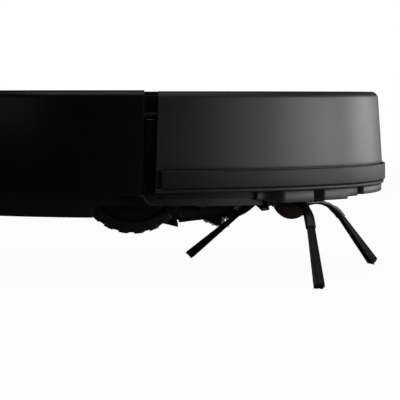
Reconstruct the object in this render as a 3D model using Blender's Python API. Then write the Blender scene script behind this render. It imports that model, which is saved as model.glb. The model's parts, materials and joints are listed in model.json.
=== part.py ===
"""Robotic floor cleaner: a disc-shaped body on two sprung drive wheels and a caster, with a floating
main-brush head, one tilted side brush, a sprung front bumper and a pull-out dust bin.

Frame: +X forward, +Y to the left, +Z up. The origin is the centre of the disc on its flat underside.
All lengths below are in millimetres and are scaled to metres when a mesh is made.
"""
from math import acos, asin, atan2, cos, degrees, hypot, pi, radians, sin, tan

import bmesh
import bpy
from mathutils import Matrix, Vector

MM = 0.001
GAP = 0.3                       # clearance between neighbouring pieces

# Body
CHASSIS_R = 163.0
CHASSIS_WALL = 2.5
CHASSIS_TOP = 74.0
FLOOR_T = 3.0
FRONT_FLOOR_X = 97.0            # ahead of this the floor steps up
FRONT_FLOOR_Z = (4.0, 6.6)
FRONT_SLOPE_R = (143.0, 163.0)  # between these the front floor rises towards its edge
FRONT_SLOPE_Z = 9.0
RUN_OUT_X = (44.5, 97.5)       # raised floor behind the side brush, on the right only
RUN_OUT_Y = -87.7
RUN_OUT_Z = (5.5, 8.5)
CONTACT_X = (128.0, 136.0)
CONTACT_Y = (26.0, 42.0)
CONTACT_Z = (3.6, 7.0)
CLIFF_HALF = (6.0, 8.0)
CLIFF_Z = (4.4, 13.0)
SHELL_R = 175.0
SHELL_Z = (13.4, 78.0)
SHELL_WALL = 2.6
COVER_R = 163.2
COVER_Z = (74.4, 77.2)
EDGE_FILLET = 5.0
SIDE_STEPS = 60

# Vertical gaps between rear shell and bumper lean: front edge position at the top and the bottom
SHELL_EDGE_X = (7.1, 5.5)
BUMPER_EDGE_X = (15.7, 13.8)
LINER_X = (-2.0, 22.0)
LINER_Z = (16.0, 63.8, 74.8)
LINER_R = (CHASSIS_R + 0.4, 167.4, 168.8)

# Bumper
BUMPER_Z = (14.6, 77.5)
BUMPER_R_TOP = 171.2
BUMPER_R_LOW = 174.2
BUMPER_R_LIP = 175.5
BUMPER_INNER_R = 170.0
BUMPER_FLANGE_R = 167.2
STRIP_Z = (17.1, 28.5)
STRIP_R = (174.5, 176.5)
STRIP_EDGE_X = 17.7
WINDOW_HALF = 12.0
WINDOW_Z = (36.0, 60.0)

# Front skirt under the bumper: angles from +X, outer radius, underside
SKIRT_INNER_R = CHASSIS_R + 0.4
SKIRT_RING_R = 166.0
SKIRT_BLOCK_R = 174.0
SKIRT_TOP = 14.2
SKIRT_RING_Z = 9.0
SKIRT_BLOCKS = ((0.0, 22.4, 9.3), (34.2, 48.0, 7.5), (49.7, 61.7, 7.0))

# Drive wheels
WHEEL_Z = 22.0
WHEEL_R = 36.0
HUB_R = 28.0
WHEEL_Y = (99.0, 125.0)
AXLE_R = 3.0
ARM_PIVOT = (-40.0, 34.0)
WELL_X = (-50.0, 43.0)
WELL_Y = (97.5, 130.5)
WELL_GEAR_X = 22.0
WELL_GEAR_Y = 86.5
WELL_WALL = 2.0
WELL_PAD_Z = 8.5
WELL_TOP = 73.0
ARCH_X = (-25.0, 45.0)
ARCH_Z = 6.0

# Caster
CASTER_X = 116.5
CASTER_TRAIL = 5.0
CASTER_R = 13.0
CASTER_HALF = 7.0
CASTER_Z = 1.0
CASTER_BAY_R = 20.3

# Main-brush head: a hinge near its front lets the rear hang lower by HEAD_DROOP
HEAD_PIVOT = (88.5, 14.0)
HEAD_DROOP = 6.6
HEAD_X = (27.0, 91.0)
HEAD_HALF = 84.0
HEAD_Z = (0.0, 43.5)
HEAD_WALL = 2.0
SKID_BOX = ((24.0, 31.5), (-92.0, -87.0), (-7.0, 4.0))
GUARD_Z = (-2.5, -0.3)
ROLLER_X = 59.0
ROLLER_Z = 15.4
ROLLER_TIP_R = 24.0
ROLLER_CORE_R = 14.0
ROLLER_HALF = 75.0
ROLLER_FINS = 6
ROLLER_PHASE = 21.0
ROLLER_TWIST = 55.0

# Side brush
HUB_AT = (107.5, -105.0)
BRUSH_TILT = (0.062, -0.0767)   # x and y of the axis for each unit of z
HUB_FOOT = 2.2
ARM_COUNT = 3
ARM_FIRST_ANGLE = 38.1
ARM_ROOT = (8.3, 5.0)           # distance from the axis and height of the arm's root
ARM_BEND_START = 14.0
ARM_BEND_R = 36.0
ARM_BEND = 46.0
ARM_HINGE_R = 8.0
SLEEVE_END_R = 44.0
SLEEVE_W = 6.1
SLEEVE_T = 2.0
BRISTLE_TIP = (73.2, -37.9)
SWEEP_R = 44.0                  # cleared round the hub
SWEEP_TOP = 11.0

# Dust bin
BIN_FRONT = -80.0
BIN_HALF = 84.0
BIN_Z = (14.6, 67.2)
LID_Z = (67.5, 70.0)
BIN_WALL = 2.0

# Battery, fan and duct
BATTERY_BOX = ((-74.0, 10.0), (-30.0, 30.0), (2.4, 26.0))
COVER_PLATE_BOX = ((-78.0, 14.0), (-36.0, 36.0), (0.0, 1.8))
DUCT_X = (-79.4, 22.0)
DUCT_HALF = 26.0
DUCT_Z = (31.0, 58.0)
FAN_AT = (-48.0, 58.0)
FAN_R = 24.0
FAN_Z = (4.0, 60.0)

BUTTON_X = 112.0
BUTTON_Y = 11.0
BUTTON_R = 7.0
CLIFF_AT = {"front": (147.0, 0.0), "left": (128.0, 52.0), "right": (128.0, -52.0)}
SIDES = {"right": -1, "left": 1}


# ---------------------------------------------------------------- materials and object helpers
def material(name, colour, roughness, metallic=0.0):
    """A Principled material, made once for each name."""
    found = bpy.data.materials.get(name)
    if found:
        return found
    made = bpy.data.materials.new(name)
    made.use_nodes = True
    shader = made.node_tree.nodes["Principled BSDF"]
    shader.inputs["Base Color"].default_value = (*colour, 1.0)
    shader.inputs["Roughness"].default_value = roughness
    shader.inputs["Metallic"].default_value = metallic
    return made


def shell_black():
    return material("gloss_black_shell", (0.012, 0.012, 0.013), 0.22)


def bumper_grey():
    return material("matt_charcoal_bumper", (0.045, 0.045, 0.047), 0.5)


def tray_black():
    return material("matt_black_tray", (0.018, 0.018, 0.019), 0.6)


def tyre_rubber():
    return material("tyre_rubber", (0.016, 0.016, 0.017), 0.8)


def soft_rubber():
    return material("brush_rubber", (0.022, 0.022, 0.023), 0.65)


def bristle_nylon():
    return material("bristle_nylon", (0.03, 0.03, 0.031), 0.5)


def steel():
    return material("bright_steel", (0.62, 0.62, 0.63), 0.3, 1.0)


def smoked():
    return material("smoked_window", (0.02, 0.012, 0.016), 0.1)


def make(name, bm, mat, pivot=(0.0, 0.0, 0.0), parent=None, crease=35.0):
    """Turns a bmesh in millimetres into an object whose origin is at pivot (millimetres)."""
    shift = Vector(pivot)
    for vertex in bm.verts:
        vertex.co = (vertex.co - shift) * MM
    bmesh.ops.recalc_face_normals(bm, faces=bm.faces)
    mesh = bpy.data.meshes.new(name)
    bm.to_mesh(mesh)
    bm.free()
    mesh.materials.append(mat)
    mesh.shade_smooth()
    mesh.set_sharp_from_angle(angle=radians(crease))
    obj = bpy.data.objects.new(name, mesh)
    obj.location = shift * MM
    obj.parent = parent
    bpy.context.scene.collection.objects.link(obj)
    return obj


def guide(name, bm, parent=None):
    """A cutter or filler used only by Boolean modifiers."""
    obj = make(name, bm, tray_black(), parent=parent)
    obj.hide_render = True
    obj.display_type = "WIRE"
    return obj


def boolean(obj, operation, *tools):
    for tool in tools:
        modifier = obj.modifiers.new(tool.name, "BOOLEAN")
        modifier.operation = operation
        modifier.solver = "EXACT"
        modifier.object = tool


def cut(obj, *cutters):
    boolean(obj, "DIFFERENCE", *cutters)


def add(obj, *fillers):
    boolean(obj, "UNION", *fillers)


def axis_empty(name, at, rotation=None, parent=None):
    """An empty on a joint's axis, in millimetres."""
    empty = bpy.data.objects.new(name, None)
    empty.location = Vector(at) * MM
    if rotation is not None:
        empty.rotation_euler = rotation
    empty.parent = parent
    bpy.context.scene.collection.objects.link(empty)
    return empty


# ---------------------------------------------------------------- shapes, in millimetres
def box(x, y, z):
    bm = bmesh.new()
    size = Vector((x[1] - x[0], y[1] - y[0], z[1] - z[0]))
    centre = Vector((x[0] + x[1], y[0] + y[1], z[0] + z[1])) / 2
    matrix = Matrix.Translation(centre) @ Matrix.Diagonal((*size, 1.0))
    bmesh.ops.create_cube(bm, size=1.0, matrix=matrix)
    return bm


def loft(rings):
    """Closed solid through rings of equal point counts, with flat end caps."""
    bm = bmesh.new()
    rows = [[bm.verts.new(point) for point in ring] for ring in rings]
    count = len(rows[0])
    for low, high in zip(rows, rows[1:]):
        for i in range(count):
            j = (i + 1) % count
            bm.faces.new((low[i], low[j], high[j], high[i]))
    bm.faces.new(list(reversed(rows[0])))
    bm.faces.new(rows[-1])
    return bm


def prism(outline, low, high, axis="Z"):
    """Extrudes a closed outline along an axis. On Y the outline holds x and z, on X it holds y and z."""
    place = {
        "Z": lambda a, b, t: (a, b, t),
        "Y": lambda a, b, t: (a, t, b),
        "X": lambda a, b, t: (t, a, b),
    }[axis]
    return loft([[place(a, b, level) for a, b in outline] for level in (low, high)])


def circle(radius, centre=(0.0, 0.0), steps=32):
    return [
        (centre[0] + radius * cos(2 * pi * i / steps), centre[1] + radius * sin(2 * pi * i / steps))
        for i in range(steps)
    ]


def cylinder(radius, low, high, centre=(0.0, 0.0), steps=32, axis="Z"):
    return prism(circle(radius, centre, steps), low, high, axis)


def revolve(profile, steps=48, centre=(0.0, 0.0), axis="Z"):
    """Turns a closed profile of (radius, height) about an axis. Radius 0 is only used at both ends."""
    bm = bmesh.new()
    rows = []
    for radius, height in profile:
        if radius == 0.0:
            rows.append([bm.verts.new((0.0, 0.0, height))])
            continue
        rows.append(
            [bm.verts.new((radius * cos(a), radius * sin(a), height)) for a in ring_angles(steps)]
        )
    closed = len(rows[0]) > 1 and len(rows[-1]) > 1
    pairs = list(zip(rows, rows[1:])) + ([(rows[-1], rows[0])] if closed else [])
    for low, high in pairs:
        for i in range(steps):
            j = (i + 1) % steps
            if len(low) == 1:
                bm.faces.new((low[0], high[j], high[i]))
            elif len(high) == 1:
                bm.faces.new((low[i], low[j], high[0]))
            else:
                bm.faces.new((low[i], low[j], high[j], high[i]))
    if axis == "Y":
        for vertex in bm.verts:
            x, y, z = vertex.co
            vertex.co = (centre[0] + x, z, centre[1] + y)
    else:
        bmesh.ops.translate(bm, verts=bm.verts, vec=(*centre, 0.0))
    return bm


def ring_angles(steps):
    return [2 * pi * i / steps for i in range(steps)]


def sweep(profile, first, last, steps=SIDE_STEPS):
    """Sweeps a closed (radius, z) profile about Z. first and last give each point's end angles."""
    rings = []
    for i in range(steps + 1):
        t = i / steps
        ring = []
        for radius, z in profile:
            angle = first(radius, z) * (1 - t) + last(radius, z) * t
            ring.append((radius * cos(angle), radius * sin(angle), z))
        rings.append(ring)
    return loft(rings)


def leaning_edge(edge_x, z_range):
    """Angle, from +X, at which a radius meets an edge that leans from edge_x[1] (low) to edge_x[0]."""
    def angle(radius, z):
        share = (z - z_range[0]) / (z_range[1] - z_range[0])
        return acos((edge_x[1] + (edge_x[0] - edge_x[1]) * share) / radius)
    return angle


def fillet(corner, radius, start, end, steps=4):
    """Points of an arc about a centre between two angles in degrees."""
    return [
        (
            corner[0] + radius * cos(radians(start + (end - start) * i / steps)),
            corner[1] + radius * sin(radians(start + (end - start) * i / steps)),
        )
        for i in range(steps + 1)
    ]


# ---------------------------------------------------------------- chassis and fixed casings
def front_slope(low, lift):
    """Ring sector under the front floor's edge, from low up to the slope raised by lift."""
    inner, outer = FRONT_SLOPE_R
    rise = (FRONT_SLOPE_Z - FRONT_FLOOR_Z[0]) / (outer - inner)
    reach = outer + 7.0
    high = FRONT_FLOOR_Z[0] + lift
    profile = [(inner, low), (reach, low), (reach, high + rise * (reach - inner)), (inner, high)]

    def first(radius, z):
        return -acos(FRONT_FLOOR_X / radius)

    def last(radius, z):
        return acos(FRONT_FLOOR_X / radius)

    return sweep(profile, first, last)


def chassis_fillers():
    """Solids that stay inside the tray: raised floors, well pads and the brush head's hinge ears."""
    low = -1.0
    fillers = [
        guide("fill_front_floor", box((FRONT_FLOOR_X, 200), (-200, 200), (low, FRONT_FLOOR_Z[1]))),
        guide("fill_front_slope", front_slope(low, FRONT_FLOOR_Z[1] - FRONT_FLOOR_Z[0])),
        guide("fill_side_brush_roof", cylinder(SWEEP_R + 2, low, SWEEP_TOP + 2, HUB_AT, 48)),
    ]
    run_out_x = (RUN_OUT_X[0] - 2, RUN_OUT_X[1] + 2)
    run_out = box(run_out_x, (-200, RUN_OUT_Y + 2), (low, RUN_OUT_Z[1]))
    fillers.append(guide("fill_run_out", run_out))
    for side, sign in SIDES.items():
        pad_y = sorted((sign * (WELL_GEAR_Y - WELL_WALL), sign * 200))
        pad = box((WELL_X[0] - 4, WELL_GEAR_X + 2), pad_y, (low, WELL_PAD_Z))
        fillers.append(guide(f"fill_well_pad_{side}", pad))
        front_y = sorted((sign * (WELL_Y[0] - WELL_WALL), sign * 200))
        front = box((WELL_GEAR_X, WELL_X[1] + 4), front_y, (low, WELL_PAD_Z + 0.001))
        fillers.append(guide(f"fill_well_front_{side}", front))
        ear_y = sorted((sign * (HEAD_HALF + 1.3), sign * (HEAD_HALF + 3.7)))
        ear = box((HEAD_PIVOT[0] - 4.5, HEAD_PIVOT[0] + 4.5), ear_y, (low, HEAD_PIVOT[1] + 5))
        fillers.append(guide(f"fill_hinge_ear_{side}", ear))
    return fillers


def chassis_cutters():
    head_y = HEAD_HALF + 1.2
    low = -5.0
    through = (low, 30.0)
    cutters = [
        guide("cut_head_opening", box((24.5, 93.8), (-head_y, head_y), (low, 20.0))),
        guide("cut_front_underside", box((FRONT_FLOOR_X, 200), (-200, 200), (low, FRONT_FLOOR_Z[0]))),
        guide("cut_front_slope", front_slope(low, 0.0)),
        guide("cut_skid", grown_box(SKID_BOX, GAP, low)),
        guide("cut_run_out", box(RUN_OUT_X, (-200, RUN_OUT_Y), (low, RUN_OUT_Z[0]))),
        guide("cut_side_brush_bay", cylinder(SWEEP_R, low, SWEEP_TOP, HUB_AT, 48)),
        guide("cut_side_brush_shaft", cylinder(5.0, 5.0, 20.0, HUB_AT, 24)),
        guide("cut_battery_bay", box((-76, 12), (-33, 33), through)),
        guide("cut_battery_rebate", grown_box(COVER_PLATE_BOX, GAP, low)),
        guide("cut_caster_bay", cylinder(CASTER_BAY_R, low, 12.0, (CASTER_X, 0.0), 40)),
        guide("cut_bin_bay", box((-200, -100), (-86, 86), (14.0, 90.0))),
        guide("cut_head_hinge", cylinder(2.3, -95, 95, HEAD_PIVOT, 16, "Y")),
    ]
    for side, sign in SIDES.items():
        wheel_y = sorted((sign * WELL_Y[0], sign * WELL_Y[1]))
        cutters.append(guide(f"cut_well_{side}", box(WELL_X, wheel_y, (low, 20))))
        gear_y = sorted((sign * WELL_GEAR_Y, sign * (WELL_Y[0] + 1)))
        gear = box((WELL_X[0] + 0.001, WELL_GEAR_X), gear_y, (low, 20.001))
        cutters.append(guide(f"cut_gear_well_{side}", gear))
        arch_y = sorted((sign * (WELL_Y[1] - 2), sign * 200))
        cutters.append(guide(f"cut_arch_{side}", box(ARCH_X, arch_y, (low, ARCH_Z))))
        cutters.append(guide(f"cut_contact_{side}", grown_box(contact_box(sign), GAP, low)))
        plunger = cylinder(2.2, 140, 170, (sign * 62.0, 35.0), 12, "X")
        cutters.append(guide(f"cut_plunger_{side}", plunger))
    for place, (x, y) in CLIFF_AT.items():
        cutters.append(guide(f"cut_cliff_{place}", grown_box(cliff_box(x, y), GAP, low)))
    return cutters


def contact_box(sign):
    return CONTACT_X, sorted((sign * CONTACT_Y[0], sign * CONTACT_Y[1])), CONTACT_Z


def cliff_box(x, y):
    half_x, half_y = CLIFF_HALF
    return (x - half_x, x + half_x), (y - half_y, y + half_y), CLIFF_Z


def grown_box(ranges, margin, low):
    """A box grown sideways and upwards by margin, and open down to low."""
    (x0, x1), (y0, y1), (_, z1) = ranges
    return box((x0 - margin, x1 + margin), (y0 - margin, y1 + margin), (low, z1 + margin))


def chassis():
    """Round tray with a floor and a thin wall, open on top."""
    tray = make("chassis", cylinder(CHASSIS_R, 0.0, CHASSIS_TOP, steps=80), tray_black())
    inner_r = CHASSIS_R - CHASSIS_WALL
    hollow = guide("cut_tray_hollow", cylinder(inner_r, FLOOR_T, CHASSIS_TOP + 10, steps=80))
    cut(hollow, *chassis_fillers())
    cut(tray, hollow, *chassis_cutters())


def rear_shell():
    """C-shaped wall round the rear half, with a rounded top edge and flanges towards the chassis."""
    top = SHELL_Z[1]
    bottom = SHELL_Z[0]
    inner = SHELL_R - SHELL_WALL
    flange_r = CHASSIS_R + 0.8
    profile = [
        (flange_r, bottom),
        (SHELL_R - 1.0, bottom),
        (SHELL_R, bottom + 1.0),
        *fillet((SHELL_R - EDGE_FILLET, top - EDGE_FILLET), EDGE_FILLET, 0, 90),
        (flange_r, top),
        (flange_r, top - 2.4),
        (inner - 2.0, top - 2.4),
        (inner, top - 4.6),
        (inner, bottom + 2.2),
        (flange_r, bottom + 2.2),
    ]
    edge = leaning_edge(SHELL_EDGE_X, SHELL_Z)

    def far_side(radius, z):
        return 2 * pi - edge(radius, z)

    shell = make("rear_shell", sweep(profile, edge, far_side), shell_black())
    bay = box((-200, -60), (-BIN_HALF - 0.6, BIN_HALF + 0.6), (0.0, LID_Z[1] + 0.5))
    cut(shell, guide("cut_bin_door", bay))


def front_skirt():
    """Low ring under the bumper's edge, with thicker blocks at the front and beside the side brush."""
    step = 0.05
    stations = []
    blocks = sorted(block for block in mirrored_blocks())
    stations.append((-SKIRT_BLOCKS[-1][1], SKIRT_RING_R, SKIRT_RING_Z))
    for start, end, bottom in blocks:
        stations.append((start + step, SKIRT_BLOCK_R, bottom))
        span = end - start
        count = max(2, round(span / 4))
        for i in range(1, count):
            stations.append((start + span * i / count, SKIRT_BLOCK_R, bottom))
        stations.append((end - step, SKIRT_BLOCK_R, bottom))
        stations.append((end, SKIRT_RING_R, SKIRT_RING_Z))
        following = [other[0] for other in blocks if other[0] > end]
        if following:
            gap = following[0] - end
            count = max(1, round(gap / 4))
            for i in range(1, count + 1):
                stations.append((end + gap * i / count, SKIRT_RING_R, SKIRT_RING_Z))
    rings = []
    for degrees_round, radius, bottom in stations:
        angle = radians(degrees_round)
        low = min(bottom, SKIRT_RING_Z)
        section = [(SKIRT_INNER_R, SKIRT_RING_Z), (SKIRT_RING_R - 0.5, low), (radius, bottom)]
        section += [(radius, SKIRT_TOP), (SKIRT_INNER_R, SKIRT_TOP)]
        rings.append([(r * cos(angle), r * sin(angle), z) for r, z in section])
    make("front_skirt", loft(rings), tray_black())


def mirrored_blocks():
    """The skirt's blocks on both sides, as (first angle, last angle, underside)."""
    for start, end, bottom in SKIRT_BLOCKS:
        if start == 0.0:
            yield (-end, end, bottom)
            continue
        yield (start, end, bottom)
        yield (-end, -start, bottom)


def top_cover():
    low, high = COVER_Z
    profile = [(0.0, low), (COVER_R, low), (COVER_R, high - 0.8), (COVER_R - 0.8, high), (0.0, high)]
    cover = make("top_cover", revolve(profile, 80), shell_black())
    for side, sign in SIDES.items():
        hole = cylinder(BUTTON_R + 0.4, low - 5, high + 5, (BUTTON_X, sign * BUTTON_Y), 24)
        cut(cover, guide(f"cut_button_{side}", hole))


def buttons():
    for name, sign in (("power_button", -1), ("home_button", 1)):
        centre = (BUTTON_X, sign * BUTTON_Y)
        profile = [(0.0, 74.6), (BUTTON_R, 74.6), (BUTTON_R, 77.2), (BUTTON_R - 0.8, 77.7), (0.0, 77.7)]
        make(name, revolve(profile, 24, centre), bumper_grey(), pivot=(*centre, 74.6))


def gap_liners():
    """Inner walls seen through the vertical gaps, with a ledge near their top."""
    low, ledge, top = LINER_Z
    back, face, ledge_r = LINER_R
    profile = [(back, low), (face, low), (face, ledge), (ledge_r, ledge), (ledge_r, top), (back, top)]
    for side, sign in SIDES.items():

        def first(radius, z):
            return sign * acos(LINER_X[1] / radius)

        def last(radius, z):
            return sign * acos(LINER_X[0] / radius)

        make(f"gap_liner_{side}", sweep(profile, first, last, 3), tray_black())


def wall_sensor_window():
    profile = [(167.8, 22.0), (168.9, 22.0), (168.9, 60.0), (167.8, 60.0)]

    def first(radius, z):
        return -acos(13.4 / radius)

    def last(radius, z):
        return -acos(8.2 / radius)

    make("wall_sensor_window", sweep(profile, first, last, 1), smoked())


# ---------------------------------------------------------------- inner modules
def battery():
    make("battery_pack", box(*BATTERY_BOX), material("battery_wrap", (0.05, 0.16, 0.32), 0.45))
    make("battery_cover", box(*COVER_PLATE_BOX), tray_black())


def suction_duct():
    duct = make("suction_duct", box(DUCT_X, (-DUCT_HALF, DUCT_HALF), DUCT_Z), tray_black())
    inner = DUCT_HALF - 2.0
    bore = box((DUCT_X[0] - 5, DUCT_X[1] + 5), (-inner, inner), (DUCT_Z[0] + 2, DUCT_Z[1] - 2))
    cut(duct, guide("cut_duct_bore", bore))


def fan():
    """Volute cup with its inlet towards the bin, and the impeller inside."""
    housing = make("fan_housing", cylinder(FAN_R, *FAN_Z, FAN_AT, 40), tray_black())
    inner = cylinder(FAN_R - 2, FAN_Z[0] + 8, FAN_Z[1] - 16, FAN_AT, 40)
    inlet = box((-90, FAN_AT[0]), (FAN_AT[1] - 14, FAN_AT[1] + 14), (18, 38))
    motor_hole = cylinder(3.2, 40, 70, FAN_AT, 16)
    cut(
        housing,
        guide("cut_fan_chamber", inner),
        guide("cut_fan_inlet", inlet),
        guide("cut_fan_shaft", motor_hole),
    )
    profile = [(0.0, 14.0), (19.0, 14.0), (19.0, 16.0), (8.0, 20.0), (8.0, 38.0), (2.5, 40.0)]
    profile += [(2.5, 58.0), (0.0, 58.0)]
    impeller = make(
        "fan_impeller", revolve(profile, 32, FAN_AT), material("fan_grey", (0.3, 0.3, 0.31), 0.4),
        pivot=(*FAN_AT, 14.0),
    )
    for i in range(7):
        angle = 2 * pi * i / 7
        blade = box((6.0, 18.6), (-0.8, 0.8), (15.0, 34.0))
        matrix = Matrix.Translation((*FAN_AT, 0.0)) @ Matrix.Rotation(angle, 4, "Z")
        bmesh.ops.transform(blade, matrix=matrix, verts=blade.verts)
        add(impeller, guide(f"fill_fan_blade_{i + 1}", blade))


def electronics():
    board = material("board_green", (0.03, 0.16, 0.07), 0.5)
    make("main_board", box((26, 104), (-62, 30), (50.0, 51.6)), board)
    cone = [(0.0, 4.0), (22.0, 4.0), (22.0, 12.0), (14.0, 24.0), (0.0, 24.0)]
    make("speaker", revolve(cone, 32, (-48.0, -58.0)), tray_black())
    make("side_brush_gearbox", box((92, 114), (-110, -88), (13.3, 36)), steel())
    for place, (x, y) in CLIFF_AT.items():
        make(f"cliff_sensor_{place}", box(*cliff_box(x, y)), smoked())
    for side, sign in SIDES.items():
        make(f"charge_contact_{side}", box(*contact_box(sign)), steel())
    make("skid", box(*SKID_BOX), tray_black())


def bumper_stops():
    """Switches that the bumper meets at the end of its travel, and the springs that return it."""
    for side, sign in SIDES.items():
        body = make(
            f"bumper_switch_{side}",
            box((136, 145.4), sorted((sign * 57, sign * 67)), (30, 40)),
            tray_black(),
        )
        plunger = cylinder(1.5, 145, 153.8, (sign * 62.0, 35.0), 12, "X")
        add(body, guide(f"fill_plunger_{side}", plunger))
        spring = cylinder(2.5, 156.3, 160.8, (sign * 50.0, 50.0), 12, "X")
        make(f"bumper_spring_{side}", spring, steel())


# ---------------------------------------------------------------- bumper
def bumper():
    low, top = BUMPER_Z
    lip_top = STRIP_Z[0] - 0.3
    centre = (BUMPER_R_TOP - EDGE_FILLET + 0.2, top - EDGE_FILLET)
    flange_angle = degrees(acos((BUMPER_FLANGE_R - centre[0]) / EDGE_FILLET))
    profile = [
        (BUMPER_INNER_R, low),
        (BUMPER_R_LIP - 0.6, low),
        (BUMPER_R_LIP, low + 0.6),
        (BUMPER_R_LIP, lip_top),
        (BUMPER_R_LOW, lip_top),
        (BUMPER_R_LOW, 31.0),
        *fillet(centre, EDGE_FILLET, 4, flange_angle),
        (BUMPER_FLANGE_R, top - 2.2),
        (BUMPER_INNER_R, top - 2.2),
    ]
    edge = leaning_edge(BUMPER_EDGE_X, BUMPER_Z)

    def other_side(radius, z):
        return -edge(radius, z)

    shell = make("bumper_shell", sweep(profile, other_side, edge), bumper_grey())
    grown = WINDOW_HALF + GAP
    hole = box((160, 190), (-grown, grown), (WINDOW_Z[0] - GAP, WINDOW_Z[1] + GAP))
    cut(shell, guide("cut_docking_window", hole))

    strip = [(STRIP_R[0], STRIP_Z[0]), (STRIP_R[1] - 0.6, STRIP_Z[0]), (STRIP_R[1], STRIP_Z[0] + 0.8)]
    strip += [(STRIP_R[1], STRIP_Z[1] - 0.8), (STRIP_R[1] - 0.6, STRIP_Z[1]), (STRIP_R[0], STRIP_Z[1])]

    def strip_start(radius, z):
        return -acos(STRIP_EDGE_X / radius)

    def strip_end(radius, z):
        return acos(STRIP_EDGE_X / radius)

    make("bumper_strip", sweep(strip, strip_start, strip_end), soft_rubber())

    outer_low = BUMPER_R_LOW - 0.2
    outer_high = BUMPER_R_LOW - 1.9
    pane = [(170.6, WINDOW_Z[0]), (outer_low, WINDOW_Z[0]), (outer_high, WINDOW_Z[1]), (170.6, WINDOW_Z[1])]

    def pane_start(radius, z):
        return -asin(WINDOW_HALF / radius)

    def pane_end(radius, z):
        return asin(WINDOW_HALF / radius)

    make("docking_window", sweep(pane, pane_start, pane_end, 4), smoked())


# ---------------------------------------------------------------- wheels
def tangent_outline(low_circle, high_circle, steps=10):
    """Outline round two circles given as (x, z, radius), joined by their outer tangents."""
    (x0, z0, r0), (x1, z1, r1) = low_circle, high_circle
    length = hypot(x1 - x0, z1 - z0)
    heading = atan2(z1 - z0, x1 - x0)
    lean = acos((r0 - r1) / length)
    points = []
    for i in range(steps + 1):
        angle = heading + lean + (2 * pi - 2 * lean) * i / steps
        points.append((x0 + r0 * cos(angle), z0 + r0 * sin(angle)))
    for i in range(steps + 1):
        angle = heading - lean + 2 * lean * i / steps
        points.append((x1 + r1 * cos(angle), z1 + r1 * sin(angle)))
    return points


def wheel_module(side, sign):
    """Well housing, swinging gearbox, axle, hub and tyre of one drive wheel."""
    outer_y = WELL_Y[1] + WELL_WALL
    inner_y = WELL_Y[0] - WELL_WALL
    x_range = (WELL_X[0] - WELL_WALL, WELL_X[1] + WELL_WALL)
    z_range = (WELL_PAD_Z + GAP, WELL_TOP)
    housing = make(
        f"wheel_housing_{side}", box(x_range, sorted((sign * inner_y, sign * outer_y)), z_range),
        tray_black(),
    )
    gear_y = sorted((sign * (WELL_GEAR_Y - WELL_WALL), sign * (inner_y + 1)))
    gear_case = box((x_range[0] + 0.001, WELL_GEAR_X + WELL_WALL), gear_y, (z_range[0] + 0.001, 60.0))
    add(housing, guide(f"fill_gear_case_{side}", gear_case))
    wheel_space = box(WELL_X, sorted((sign * WELL_Y[0], sign * WELL_Y[1])), (0, WELL_TOP - WELL_WALL))
    gear_space_y = sorted((sign * WELL_GEAR_Y, sign * (WELL_Y[0] + 1)))
    gear_space = box((WELL_X[0] + 0.001, WELL_GEAR_X), gear_space_y, (0.001, 58.0))
    cut(
        housing,
        guide(f"cut_wheel_space_{side}", wheel_space),
        guide(f"cut_gear_space_{side}", gear_space),
    )

    outline = tangent_outline((0.0, WHEEL_Z, 18.0), (*ARM_PIVOT, 8.0))
    gear_low, gear_high = sorted((sign * (WELL_GEAR_Y + 1), sign * (WELL_Y[0] - 0.5)))
    make(
        f"{side}_wheel_gearbox", prism(outline, gear_low, gear_high, "Y"), tray_black(),
        pivot=(ARM_PIVOT[0], 0.0, ARM_PIVOT[1]),
    )
    wheel_pivot = (0.0, sign * WHEEL_Y[0], WHEEL_Z)
    axle_low, axle_high = sorted((sign * (WELL_Y[0] - 0.2), sign * (WHEEL_Y[1] - 2)))
    axle = cylinder(AXLE_R, axle_low, axle_high, (0.0, WHEEL_Z), 16, "Y")
    make(f"{side}_wheel_axle", axle, steel(), pivot=wheel_pivot)

    inner, outer = sign * (WHEEL_Y[0] + 0.5), sign * (WHEEL_Y[1] - 0.6)
    web = (sign * 108.0, sign * 112.0)
    rim = HUB_R - 3.5
    hub = [(AXLE_R + GAP, inner), (8.0, inner), (8.0, web[0]), (rim, web[0]), (rim, inner)]
    hub += [(HUB_R, inner), (HUB_R, outer), (rim, outer), (rim, web[1]), (8.0, web[1])]
    hub += [(8.0, outer), (AXLE_R + GAP, outer)]
    hub_mesh = revolve(hub, 48, (0.0, WHEEL_Z), "Y")
    make(f"{side}_wheel_hub", hub_mesh, tray_black(), pivot=wheel_pivot)

    shoulder = 2.0
    near, far = sign * WHEEL_Y[0], sign * WHEEL_Y[1]
    tyre = [(HUB_R + GAP, near), (WHEEL_R - shoulder, near), (WHEEL_R, near + sign * shoulder)]
    tyre += [(WHEEL_R, far - sign * shoulder), (WHEEL_R - shoulder, far), (HUB_R + GAP, far)]
    tyre_mesh = revolve(tyre, 48, (0.0, WHEEL_Z), "Y")
    make(f"{side}_wheel_tyre", tyre_mesh, tyre_rubber(), pivot=wheel_pivot)


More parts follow.
